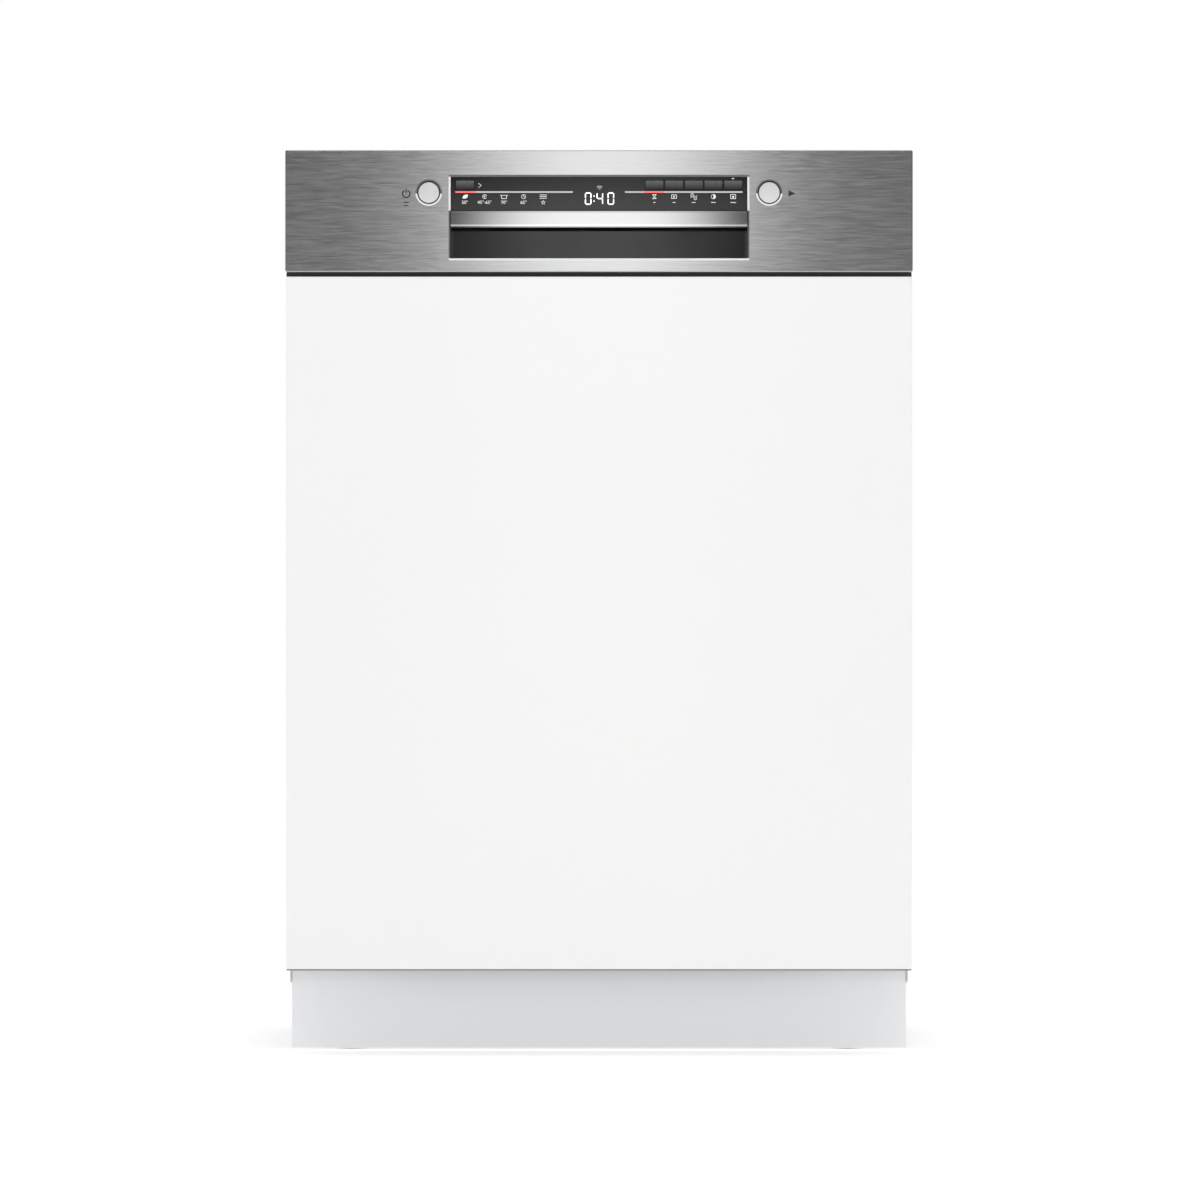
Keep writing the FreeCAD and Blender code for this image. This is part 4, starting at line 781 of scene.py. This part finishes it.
def window_marks():
    """Lit time, indicator lines, pictograms and temperatures on the black window."""
    y = WINDOW_LOW.y - PRINT_DEPTH
    time_z, top, low = 817.9, 819.8, 814.2       # heights of the time, the pictograms and their values
    lit = Marks(y)
    for digit, x in (("0", -10.3), ("4", 0.8), ("0", 11.3)):
        seven_segment(lit, digit, x, time_z, 5.2, 10.8, 1.0)
    for lift in (-2.4, 2.4):
        lit.disc(-4.7, time_z + lift, 0.6)
    lit.done("window_time", "lit_digit")
    for name, look, spans in (
            ("window_lines", "line_print", ((-117.8, -24.9), (24.7, 43.2), (62.2, 136.8))),
            ("window_selected", "red_light", ((-136.9, -117.9), (43.3, 62.1)))):
        lines = Marks(y)
        for left, right in spans:
            lines.bar(left, LINE_LOW, right, LINE_HIGH)
        lines.done(name, look)

    ink = Marks(y)
    for radius in (0.5, 2.0, 3.5):
        ink.arc(0.5, 826.3, radius, 48, 132, 0.42, 10)
    ink.stroke([(-114.8, 832.4), (-112.2, 830.4), (-114.8, 828.4)], 0.4)
    leaf, drop, pot, clock, lines = -127.8, -109.0, -90.5, -71.9, -53.2
    ink.shape(shifted(leaf, top, (-2.6, -1.6), (-1.4, 1.1), (0.8, 1.9), (2.9, 1.9), (2.5, -0.3), (0.9, -1.7),
                      (-1.3, -1.9)))
    ink.arc(drop, top, 1.9, 20, 320, 0.5)
    ink.disc(drop, top, 0.7)
    ink.stroke(shifted(pot, top, (-2.6, 1.2), (-2.2, -1.9), (2.2, -1.9), (2.6, 1.2), (-3.6, 1.2), (3.6, 1.2)),
               0.5)
    ink.arc(clock, top, 2.0, 0, 360, 0.45)
    ink.stroke(shifted(clock, top, (0, 1.3), (0, 0), (1.0, -0.5)), 0.45)
    for lift in (0, 1.6, -1.6):
        ink.stroke(shifted(lines, top, (-3.2, lift), (3.2, lift)), 0.5)
    for words, x in (("50°", leaf), ("45°-65°", drop), ("70°", pot), ("65°", clock)):
        ink.text(words, x, low, 4.4)
    ink.shape(star(lines, low, 2.4), [star(lines, low, 1.5)])

    options = [52.8 + 18.77 * n for n in range(5)]
    delay, remote, dry, half, care = options
    ink.stroke(shifted(delay, top, (-1.8, 1.9), (1.8, 1.9), (-1.8, -1.9), (1.8, -1.9)), 0.5, closed=True)
    for x, tall in ((remote, 1.7), (care, 2.0)):
        ink.stroke(shifted(x, top, (-2.4, -tall), (-2.4, tall), (2.4, tall), (2.4, -tall)), 0.5, closed=True)
    ink.disc(remote, top, 0.8)
    for lift in (-1.5, 0, 1.5):
        ink.arc(dry - 1.5, top + lift, 1.5, 20, 160, 0.45, 8)
        ink.arc(dry + 1.5, top + lift, 1.5, 200, 340, 0.45, 8)
    ink.arc(half, top, 2.1, 0, 360, 0.45)
    ink.shape([(half + 2.1 * sin(pi * n / 12), top + 2.1 * cos(pi * n / 12)) for n in range(13)])
    ink.disc(care, top - 0.3, 1.0)
    for number, x in enumerate(options, start=1):
        ink.bar(x - 0.4 * number - 0.6, low - 0.3, x + 0.4 * number + 0.6, low + 0.3)
    ink.shape([(126.2, 837.4), (129.2, 837.4), (127.7, 836.2)])
    ink.done("window_pictograms", "white_print")


def fascia_marks():
    """Dark printed power and start symbols beside the round buttons."""
    ink = Marks(FACE - PRINT_DEPTH)
    power_x, power_z = -183.7, 822.4
    ink.arc(power_x, power_z, 3.5, 120, 420, 0.95, 28)
    ink.stroke(shifted(power_x, power_z, (0, 0.6), (0, 4.4)), 0.95)
    for lift, half in ((8.2, 2.6), (11.2, 1.9)):
        ink.bar(power_x - half, power_z - lift - 0.45, power_x + half, power_z - lift + 0.45)
    ink.shape(shifted(183.6, 822.6, (-3.0, -3.2), (3.2, 0), (-3.0, 3.2)))
    ink.done("fascia_symbols", "dark_print")


# ---- panels

def board(name, node, look, body, edge):
    """A furniture board with rounded edges all round."""
    low, high = corners_mm(node)
    build = bmesh.new()
    depths = [(inset, low.y + depth) for inset, depth in rounding(edge)]
    depths += [(inset, high.y - depth) for inset, depth in reversed(rounding(edge))]
    rings = [ring_at(build, rounded_rectangle((low.x, low.z, high.x, high.z), edge, inset, 4), y)
             for inset, y in depths]
    skin(build, rings)
    fill(build, rings[0])
    fill(build, rings[-1])
    finish_mesh(name, build, look, body, [node], smooth=30)


def lower_edges():
    """Dark band along the board's lower edge: painted shade on its rounded underside. Light caps on the side
    sheets beside the plinth.
    """
    low, high = corners_mm("furniture_panel")
    band = ((low.x + 0.4, low.y - 0.15, low.z), (high.x - 0.4, high.y - 1.0, low.z + 1.3))
    blocks("board_edge_painted_shade", [band], "edge_painted_shade", "door", bevel=0.1)
    plinth_edge, sheet_edge = corners_mm("plinth_panel")[1].x + 0.1, 298.9
    for side, name in ((-1, "left"), (1, "right")):
        left, right = sorted((side * plinth_edge, side * sheet_edge))
        blocks(f"sheet_edge_cap_{name}", [((left, -188.0, 66.0), (right, -185.0, 92.0))], "white_plastic",
               "root", bevel=0.4)


def gap_shadow_strip():
    """Dark strip behind the gap between the fascia and the furniture board: painted shadow in the gap."""
    low, high = corners_mm("furniture_panel")
    blocks("gap_shadow_strip", [((low.x, FACE + 9.0, high.z + 0.2), (high.x, FACE + 15.0, FASCIA_LOW.z - 0.2))],
           "base_plastic", "door", bevel=0.3)


# ---- tub and inner door

def mirrored(fields):
    return [(-right, low, -left, high) for left, low, right, high in fields]


def tub_pressings():
    """Stiffening fields pressed into the tub's walls and floor, the sump's rim and the dryer's vent."""
    for side, facing in ((-1, "+x"), (1, "-x")):
        fields = [(-150, 222, 190, 300), (-150, 372, 190, 470), (-150, 690, 190, 790)]
        if side > 0:
            fields = mirrored(fields)
        beads(f"tub_side_pressing_{'left' if side < 0 else 'right'}", fields, 22, 280, 0.9, 4,
              "tub_steel", "root", facing)
    fields = [(left, low, left + 210, low + 150) for left in (-240, 30) for low in (190, 380, 570)]
    beads("tub_rear_pressing", fields, 22, 255, 0.9, 4, "tub_steel", "root", "-y")
    fields = [(-225, -185, -40, -30), (-60, 150, 60, 225), (60, 60, 225, 225)]
    beads("tub_floor_pressing", fields, 16, -138, 0.8, 4, "tub_steel", "root", "+z")
    profile = [(50, 0), (50.5, 0.5), (52, 1.2), (55, 1.2), (57, 0.3), (57.5, -0.1)]
    turned("sump_rim", profile, (105, -20, 138), "tub_steel", "root", steps=64)
    turned("dryer_vent", [(0, 2.6), (24, 2.6), (27, 2.0), (28, 0)], (-280, 165, 520), "grey_plastic",
           "root", turn=turning(90, "Y"))
    slots = ((504, 14), (512, 20), (520, 22), (528, 20), (536, 14))
    # The vent's slots are thin dark plates: painted shade.
    blocks("dryer_vent_slots", [((-277.5, 165 - half, z - 1.6), (-276.9, 165 + half, z + 1.6))
                                for z, half in slots], "hole_painted_shade", "root", bevel=0)


def riser_details():
    """Clips of the supply pipe and the nozzles of the shower head under the tub's top."""
    blocks("riser_clips", [((-15.5, 236.8, z), (15.5, 254.9, z + 14)) for z in (260, 430, 640, 760)],
           "grey_plastic", "root", bevel=1.2)
    build = bmesh.new()
    for radius, count in ((18, 6), (34, 12)):
        for n in range(count):
            add_lathe(build, [(3.4, -0.5), (2.8, 1.6), (1.5, 1.6), (1.2, 0.4), (0, 0.4)],
                      (*around(radius, tau * n / count, 0, 8), 832), turning(180, "X"), 16)
    finish_mesh("shower_nozzles", build, "grey_plastic", "root")


def gasket_lips():
    """Double-lipped seal round the tub's opening."""
    build = bmesh.new()
    rows = []
    for inset, depth in ((0, -217.0), (0.5, -219.6), (1.6, -220.9), (3.6, -221.2), (5.2, -219.4),
                         (6.8, -220.9), (8.8, -221.2), (10.3, -219.8), (11, -217.0)):
        left, top, bend = -294 + inset, 855.5 - inset * 5 / 11, 14 - inset * 0.6
        points = [(left, 155)]
        points += [around(bend, radians(180 - 11.25 * n), left + bend, top - bend) for n in range(9)]
        points += [(-x, z) for x, z in reversed(points)]
        rows.append(ring_at(build, points, depth))
    for first, second in zip(rows, rows[1:]):
        for n in range(len(first) - 1):
            build.faces.new([first[n], first[n + 1], second[n + 1], second[n]])
    for end in (0, -1):
        build.faces.new([row[end] for row in rows])
    finish_mesh("gasket_lips", build, "seal_rubber", "root", ["door_gasket"], smooth=50)


def liner_pressings():
    """Pressed fields of the stainless inner door, seen from the tub."""
    fields = [(-222, 172, 222, 372), (-222, 566, 222, 818), (-222, 398, -116, 536), (116, 398, 222, 536)]
    beads("liner_pressing", fields, 20, 221.5, 1.6, 7, "stainless", "door", "+y")
    beads("liner_inner_pressing", [(-196, 198, 196, 346), (-196, 592, 196, 792)], 12, 219.95, 0.8, 4,
          "stainless", "door", "+y")


DISPENSER_FACE = -210


def dispenser_details():
    """Release button, ribs, dose window and printed pictograms of the dispenser."""
    turned("dispenser_release", [(0, 1.9), (4.4, 1.9), (5.4, 1.4), (5.8, 0)], (-48, DISPENSER_FACE, 537.6),
           "blue_plastic", "door", turn=BACK, steps=32)
    blocks("dispenser_ribs", [((14, -210.2, z), (88, -208.9, z + 3)) for z in (402, 412, 422, 432)],
           "grey_plastic", "door", bevel=0.5)
    turned("dispenser_bezel", [(22.2, -0.2), (22.4, 1.2), (23.4, 1.8), (24.6, 1.2), (24.8, -0.2)],
           (50, DISPENSER_FACE, 490), "grey_plastic", "door", turn=BACK, steps=64)
    turned("dose_window", [(0, 0.7), (4.2, 0.7), (5.0, 0.3), (5.2, -0.1)], (86, DISPENSER_FACE, 520),
           "black_gloss", "door", turn=BACK, steps=32)
    ink = Marks(209.0 + 1.06)
    ink.shape(star(-50, 456, 5.0))
    for drop in (-58, -42):
        ink.disc(drop, 455, 1.8)
    ink.stroke([(40, 527), (56, 527), (56, 535), (40, 535)], 0.8, closed=True)
    ink.disc(48, 531, 2.2)
    ink.done("dispenser_marks", "dark_print", "+y")


# ---- racks and arms

TINE_FRONT, TINE_REAR, TINE_TOP = -142, 182, 285
RIMS = {"lower_rack": 330, "upper_rack": 660}    # heights of the racks' top wires
WHEELS_Y, WHEELS_Z, SPOKES_X = {"front_wheels": -95, "rear_wheels": 150}, 173, 266.2


def wire_tips(name, profile, places, height, look, body):
    """Soft caps on wire ends at one height."""
    build = bmesh.new()
    for x, y in places:
        add_lathe(build, profile, (x, y, height), steps=12)
    finish_mesh(name, build, look, body)


def tine_tips():
    """Soft caps on the plate tines and the ends of the rack walls' uprights."""
    for name, body, rows, count in (("fixed_tine_tips", "lower_rack", (-150, -75), 13),
                                    ("folding_tine_tips", "folding_tines", (20,), 12)):
        step = (TINE_REAR - TINE_FRONT) / (count - 1)
        places = [(x, TINE_FRONT + step * n) for x in rows for n in range(count)]
        wire_tips(name, [(1.95, -9), (2.1, -8), (2.1, -1.2), (1.3, -0.2), (0, 0)], places, TINE_TOP,
                  "light_plastic", body)
    for rack, half in (("lower", 245), ("upper", 250)):
        places = [(-half + 9 + (2 * half - 18) * n / 10, y) for n in range(11) for y in (-187, 222)]
        places += [(x, -181 + 397 * n / 10) for n in range(11) for x in (-half, half)]
        wire_tips(f"{rack}_wall_tips", [(2.25, -5), (2.35, -4), (2.35, -0.9), (1.4, 0), (0, 0.1)], places,
                  RIMS[f"{rack}_rack"], "coated_wire", f"{rack}_rack")


def rack_grips():
    """Moulded grips on the front rails of both racks."""
    for body, rim in RIMS.items():
        build = bmesh.new()
        steps = 24
        rings = []
        for n in range(steps + 1):
            part = 2 * n / steps - 1
            sag = 7 * (1 - part ** 2)
            grow = sqrt(max(0.02, 1 - part ** 8))
            middle = rim - 9 - sag * 0.5
            rings.append([build.verts.new(((70 * part) * MM, (-193.2 + 5.4 * grow * cos(angle)) * MM,
                                           (middle + (9 + sag * 0.4) * grow * sin(angle)) * MM))
                          for angle in [tau * k / 20 for k in range(20)]])
        skin(build, rings, ends=True)
        finish_mesh(f"{body}_grip", build, "grey_plastic", body, smooth=60)
        turned(f"{body}_grip_badge", [(0, 0.6), (5.5, 0.6), (6.2, 0.2), (6.4, -0.4)],
               (0, -198.5, rim - 12.5), "blue_plastic", body, turn=FRONT, steps=32)


def wheel_spokes():
    """Spokes in the dished faces of the rack's wheels."""
    for body, y in WHEELS_Y.items():
        build = bmesh.new()
        for side in (-1, 1):
            for n in range(6):
                made = add_box(build, (-1.2, 7.5, -1.3), (1.2, 16, 1.3))
                bmesh.ops.transform(build, verts=made, matrix=Matrix.Translation(
                    Vector((side * SPOKES_X, y, WHEELS_Z)) * MM) @ turning(60 * n, "X"))
        finish_mesh(f"{body}_spokes", build, "grey_plastic", body, bevel=0.4)


def sprayer(name, body, node, reach, low, hub_low, cap_top):
    """Hollow arm with a rounded, tapered body, a domed hub and a row of nozzles."""
    build = bmesh.new()
    steps, centre = 56, 8
    rings = []
    for n in range(steps + 1):
        x = reach * (2 * n / steps - 1)
        far = abs(x)
        half = 17 if far < 30 else 17 - 6.8 * (far - 30) / (reach - 30)
        end = max(0.0, (far - (reach - 9)) / 9)
        shrink = sqrt(max(0.01, 1 - end ** 2))
        ring = []
        for k in range(24):
            angle = tau * k / 24
            across = abs(cos(angle)) ** 0.7 * copysign(1, cos(angle))
            up = abs(sin(angle)) ** 0.8 * copysign(1, sin(angle))
            ring.append(build.verts.new((x * MM, (centre + half * shrink * across) * MM,
                                         (low + 4.5 + 4.5 * shrink * up) * MM)))
        rings.append(ring)
    skin(build, rings, ends=True)
    top = low + 9
    add_lathe(build, [(0, cap_top - top), (6, cap_top - top), (9, cap_top - top - 0.4), (22, 0.2),
                      (23.6, -1.0), (24, -2.5), (24, hub_low - top + 1), (23, hub_low - top),
                      (11, hub_low - top), (11, -1.5), (0, -1.5)], (0, centre, top), None, 56)
    finish_mesh(f"{name}_shell", build, "grey_plastic", body, [node], smooth=50)
    # The nozzle holes are dark discs over the openings: painted shade.
    nozzles, holes = bmesh.new(), bmesh.new()
    for n, x in enumerate((-0.93, -0.78, -0.63, -0.48, -0.32, 0.24, 0.40, 0.55, 0.71, 0.86)):
        place = (x * reach, centre + (3.4 if n % 2 else -3.4), top)
        add_lathe(nozzles, [(3.6, -1.0), (3.3, 0.5), (2.7, 0.8), (1.7, 0.8), (1.5, 0.1)], place, None, 20)
        add_lathe(holes, [(1.6, 0.15), (0, 0.15)], place, None, 20)
    finish_mesh(f"{name}_nozzles", nozzles, "grey_plastic", body)
    finish_mesh(f"{name}_nozzle_holes", holes, "hole_painted_shade", body)


def slotted_basket():
    """Cutlery basket with slotted walls, six cells and an arched handle."""
    left, right, front, rear, low, high = 165, 235, -150, 60, 197, 300
    middle, thick = (left + right) / 2, 2.0
    boxes = []
    lengths = [front + (rear - front) * n / 3 for n in range(4)]

    def wall(start, end):
        """A slotted wall between two floor points, along X or Y."""
        along_x = abs(end[0] - start[0]) > 1
        run = (end[0] - start[0]) if along_x else (end[1] - start[1])

        def piece(near, far, bottom, top):
            if along_x:
                boxes.append(((start[0] + near, start[1], bottom), (start[0] + far, start[1] + thick, top)))
            else:
                boxes.append(((start[0], start[1] + near, bottom), (start[0] + thick, start[1] + far, top)))
        for bottom, top in ((low, low + 12), (low + 50, low + 56), (high - 10, high)):
            piece(0, run, bottom, top)
        count = max(2, round(run / 9))
        for n in range(count + 1):
            near = min(run - 3.4, max(0, run * n / count - 1.7))
            piece(near, near + 3.4, low + 11, high - 9)

    wall((left, front), (left, rear))
    wall((right - thick, front), (right - thick, rear))
    wall((left, front), (right, front))
    wall((left, rear - thick), (right, rear - thick))
    for y in lengths[1:3]:
        wall((left, y - 1), (right, y - 1))
    boxes.append(((middle - 1, front, low), (middle + 1, rear, high)))
    for n in range(24):
        y = front + 2 + (rear - front - 6) * n / 23
        boxes.append(((left, y, low), (right, y + 3.4, low + 2)))
    for x in (left, middle - 12, middle + 8, right - 4):
        boxes.append(((x, front, low), (x + 4, rear, low + 2)))
    blocks("basket_walls", boxes, "grey_plastic", "cutlery_basket", ["cutlery_basket"], bevel=0.35)
    build = bmesh.new()
    top = high + 40
    add_wire(build, [(middle, front + 6, high - 6), (middle, front + 6, top - 4), (middle, rear - 6, top - 4),
                     (middle, rear - 6, high - 6)], 3.6, 16, 14)
    finish_mesh("basket_handle", build, "grey_plastic", "cutlery_basket", smooth=60)


# ---- cabinet and base

def side_sheets():
    """Galvanised side panels with pressed fields, folds and cooling slots."""
    outside, inside = -299, -298
    for name, facing in (("left", "-x"), ("right", "+x")):
        front, rear = -215, 262
        outline = [(front, 150), (-186.5, 150), (-186.5, 66), (rear, 66), (rear, 850), (front, 850)]
        fields = [(-150, 200, 205, 420), (-150, 465, 205, 800)]
        slots = [(y, 96, y + 7, 124) for y in range(60, 221, 20)]
        if name == "left":
            front, rear = -rear, -front
            outline = [(-y, z) for y, z in reversed(outline)]
            fields, slots = mirrored(fields), mirrored(slots)
        build = bmesh.new()
        skins = [ring_at(build, outline, y) for y in (outside, inside)]
        openings = [ring_at(build, rounded_rectangle(edges, 24), outside) for edges in fields]
        cuts = [[ring_at(build, rounded_rectangle(edges, 3.4), y) for edges in slots]
                for y in (outside, inside)]
        fill(build, skins[0], openings + cuts[0])
        fill(build, skins[1], cuts[1])
        skin(build, skins)
        for pair in zip(*cuts):
            skin(build, pair)
        for edges, opening in zip(fields, openings):
            rings = [opening] + [ring_at(build, rounded_rectangle(edges, 24 - inset, inset), outside + depth)
                                 for inset, depth in ((2, 0.15), (5, 0.65), (7, 0.8))]
            skin(build, rings)
            fill(build, rings[-1])
        folds = [((front, 849), (rear, 850))] + [((y, 150), (y + 1, 850)) for y in (front, rear - 1)]
        for (start, low), (end, high) in folds:
            add_box(build, (start, -298.2, low), (end, -286, high))
        finish_mesh(f"side_sheet_{name}", build, "galvanised", "root", [f"side_panel_{name}"], smooth=30,
                    facing=facing)


def screw_foot(name, x, y):
    """Foot with a rounded sole, a flat hexagon for the spanner and a threaded stem."""
    build = bmesh.new()
    add_lathe(build, [(0, 0), (20.5, 0), (22, 1.2), (22, 6), (21, 8.2), (12, 10.4), (9, 11.2), (0, 11.2)],
              (x, y, 0), None, 48)
    add_lathe(build, [(0, 11.1), (8.6, 11.1), (9.4, 11.8), (9.4, 15.8), (8.6, 16.5), (0, 16.5)], (x, y, 0),
              None, 6)
    thread = []
    for n in range(35):
        thread += [(4.1, 16.5 + 2 * n), (4.7, 17.5 + 2 * n)]
    add_lathe(build, [(0, 16.4), *thread, (4.1, 87.4), (3.6, 88), (0, 88)], (x, y, 0), None, 24)
    finish_mesh(f"{name}_screw", build, "base_plastic", name, [name], smooth=35)


def rear_connections():
    """Inlet thread, barbed drain spigot, cable gland and the ribs of the base's rear wall."""
    thread = []
    for n in range(9):
        thread += [(12.3, 4 + 1.8 * n), (13.2, 4.9 + 1.8 * n)]
    build = bmesh.new()
    add_box(build, (-250, 225, 82), (-214, 262, 118))
    finish_mesh("inlet_valve_block", build, "white_plastic", "root", ["water_inlet_valve"], bevel=2.0)
    turned("inlet_thread", [(12.9, 0), (12.9, 3), *thread, (12.3, 21.2), (11.4, 22), (6, 22), (6, 6), (0, 6)],
           (-232, 262, 100), "white_plastic", "root", turn=BACK, smooth=25)
    turned("inlet_seat", [(14.6, -0.2), (14.6, 1.2), (13.9, 1.9), (12.9, 1.9)], (-232, 262, 100),
           "white_plastic", "root", turn=BACK)
    turned("drain_barbs", [(9.5, 2), (9.5, 6), (10.6, 7.5), (9.5, 12), (10.6, 13.5), (9.5, 18)],
           (135, 264, 96), "base_plastic", "root", turn=BACK)
    turned("gland_nut", [(11.6, 0), (12.4, 0.8), (12.4, 7), (11.4, 8), (9, 8)], (200, 262.2, 100),
           "base_plastic", "root", turn=BACK, steps=6)
    spans = [x for x in range(-280, 281, 20) if min(abs(x + 232), abs(x - 200), abs(x - 135)) > 28]
    blocks("base_rear_ribs", [((x - 1.2, 261.5, 66), (x + 1.2, 264.5, 146)) for x in spans]
           + [((-294, 261.5, 146), (294, 264, 149.5)), ((-294, 261.5, 62.5), (294, 264, 66))],
           "base_plastic", "root", bevel=0.4)


def carrier_details():
    """Steam slots in the top of the control housing, thin strips painted dark as shade, and the screws of the
    cross rail.
    """
    blocks("carrier_slots", [((x - 1.6, -262, 862.4), (x + 1.6, -238, 862.75))
                             for start in (-240, 90) for x in range(start, start + 151, 10)],
           "hole_painted_shade", "door", bevel=0)
    build = bmesh.new()
    for x in (-240, 240):
        add_lathe(build, [(0, 0.6), (1.0, 0.6), (1.2, 1.2), (4.0, 1.0), (5.0, 0.2), (5.0, -0.2)],
                  (x, -188, 862.7), steps=24)
    finish_mesh("cross_rail_rivets", build, "spring_steel", "root")


# ---- stage

def soft_sides(lamp, strength, core, edge):
    """Let an area lamp fade towards its left and right sides."""
    lamp.use_nodes = True
    tree = lamp.node_tree
    place = add_node(tree, "ShaderNodeNewGeometry").outputs["Parametric"]
    across = add_node(tree, "ShaderNodeSeparateXYZ", Vector=place).outputs[0]
    distance = calculate(tree, "ABSOLUTE", calculate(tree, "SUBTRACT", across, 0.5))
    fade = map_range(tree, distance, core, edge, strength, 0.0)
    fade.interpolation_type = "SMOOTHERSTEP"
    feed(tree, tree.nodes["Emission"].inputs["Strength"], fade.outputs[0])


def floor_and_world():
    """Pale floor, and a world that is white to the camera and shines from above."""
    mesh = bpy.data.meshes.new("floor")
    reach = 14.0
    mesh.from_pydata([(-reach, -reach, 0), (reach, -reach, 0), (reach, reach, 0), (-reach, reach, 0)], [],
                     [(0, 1, 2, 3)])
    pale = Paint("pale_floor", grey(0.75), 0.9, Specular_IOR_Level=0.1, Emission_Strength=0.60)
    pale.set("Emission Color", (1, 1, 1, 1))
    mesh.materials.append(LOOKS["pale_floor"])
    put("floor", mesh)

    world = bpy.data.worlds.new("studio")
    bpy.context.scene.world = world
    world.use_nodes = True
    tree = world.node_tree
    direction = add_node(tree, "ShaderNodeTexCoord").outputs["Generated"]
    height = add_node(tree, "ShaderNodeSeparateXYZ", Vector=direction).outputs["Z"]
    lit = tree.nodes["Background"]
    feed(tree, lit.inputs["Color"], (1, 1, 1, 1))
    feed(tree, lit.inputs["Strength"], map_range(tree, height, 0.30, 0.9, 0.07, 0.9).outputs[0])
    shown = add_node(tree, "ShaderNodeBackground", Color=(1, 1, 1, 1))
    mix = tree.nodes.new("ShaderNodeMixShader")
    is_camera = add_node(tree, "ShaderNodeLightPath").outputs["Is Camera Ray"]
    for target, source in zip(mix.inputs, (is_camera, lit.outputs[0], shown.outputs[0])):
        feed(tree, target, source)
    feed(tree, tree.nodes["World Output"].inputs[0], mix.outputs[0])


def lights_and_camera():
    """Soft studio lights, and the camera at the photograph's angle."""
    for name, place, aim, wide, tall, power in (
            ("front_strip", (0.0, -3.2, 1.4), (0, -0.28, 1.4), 0.68, 2.6, 11.5),
            ("top_box", (0.0, -1.1, 2.0), (0, -0.25, 0.6), 1.8, 0.7, 5),
            ("left_box", (-2.7, -2.2, 0.48), (0, -0.2, 0.3), 1.5, 0.9, 15),
            ("right_box", (2.7, -2.2, 0.48), (0, -0.2, 0.3), 1.5, 0.9, 16),
            ("rear_fill", (0.5, 3.4, 2.2), (0, 0, 0.45), 2.4, 1.6, 20)):
        lamp = bpy.data.lights.new(name, "AREA")
        lamp.shape = "RECTANGLE"
        lamp.size = wide
        lamp.size_y = tall
        lamp.energy = power
        if name == "front_strip":
            soft_sides(lamp, 1.0, 0.05, 0.42)
        item = put(name, lamp)
        item.location = place
        item.rotation_euler = (Vector(aim) - Vector(place)).to_track_quat("-Z", "Y").to_euler()

    distance, frame_width, eye_height, eye_side = 6.97, 1.1437, 0.4352, 0.00095
    camera = bpy.data.cameras.new("camera")
    camera.sensor_width = 36.0
    camera.lens = camera.sensor_width * distance / frame_width
    camera.clip_start, camera.clip_end = 0.1, 60
    item = put("camera", camera)
    item.location = (eye_side, FACE * MM - distance, eye_height)
    item.rotation_euler = (radians(90), 0, 0)
    bpy.context.scene.camera = item
    bpy.context.scene.view_settings.view_transform = "Standard"


# ---- all pieces

floor_and_world()
lights_and_camera()
dress_nodes()
fascia_front()
recess_rim()
button_rims()
round_caps()
pull_bar()
window_keys()
window_marks()
fascia_marks()
board("furniture_board", "furniture_panel", "white_lacquer", "door", 1.0)
gap_shadow_strip()
lower_edges()
board("plinth_board", "plinth_panel", "plinth_white", "root", 0.8)
tub_pressings()
riser_details()
gasket_lips()
liner_pressings()
dispenser_details()
tine_tips()
rack_grips()
wheel_spokes()
sprayer("lower_arm", "lower_spray_arm", "lower_spray_arm", 222, 161, 159, 171)
sprayer("upper_arm", "upper_spray_arm", "upper_spray_arm", 205, 506, 504, 516)
slotted_basket()
side_sheets()
screw_foot("foot_front_left", -240, -140)
screw_foot("foot_front_right", 240, -140)
screw_foot("foot_rear", 0, 235)
rear_connections()
carrier_details()
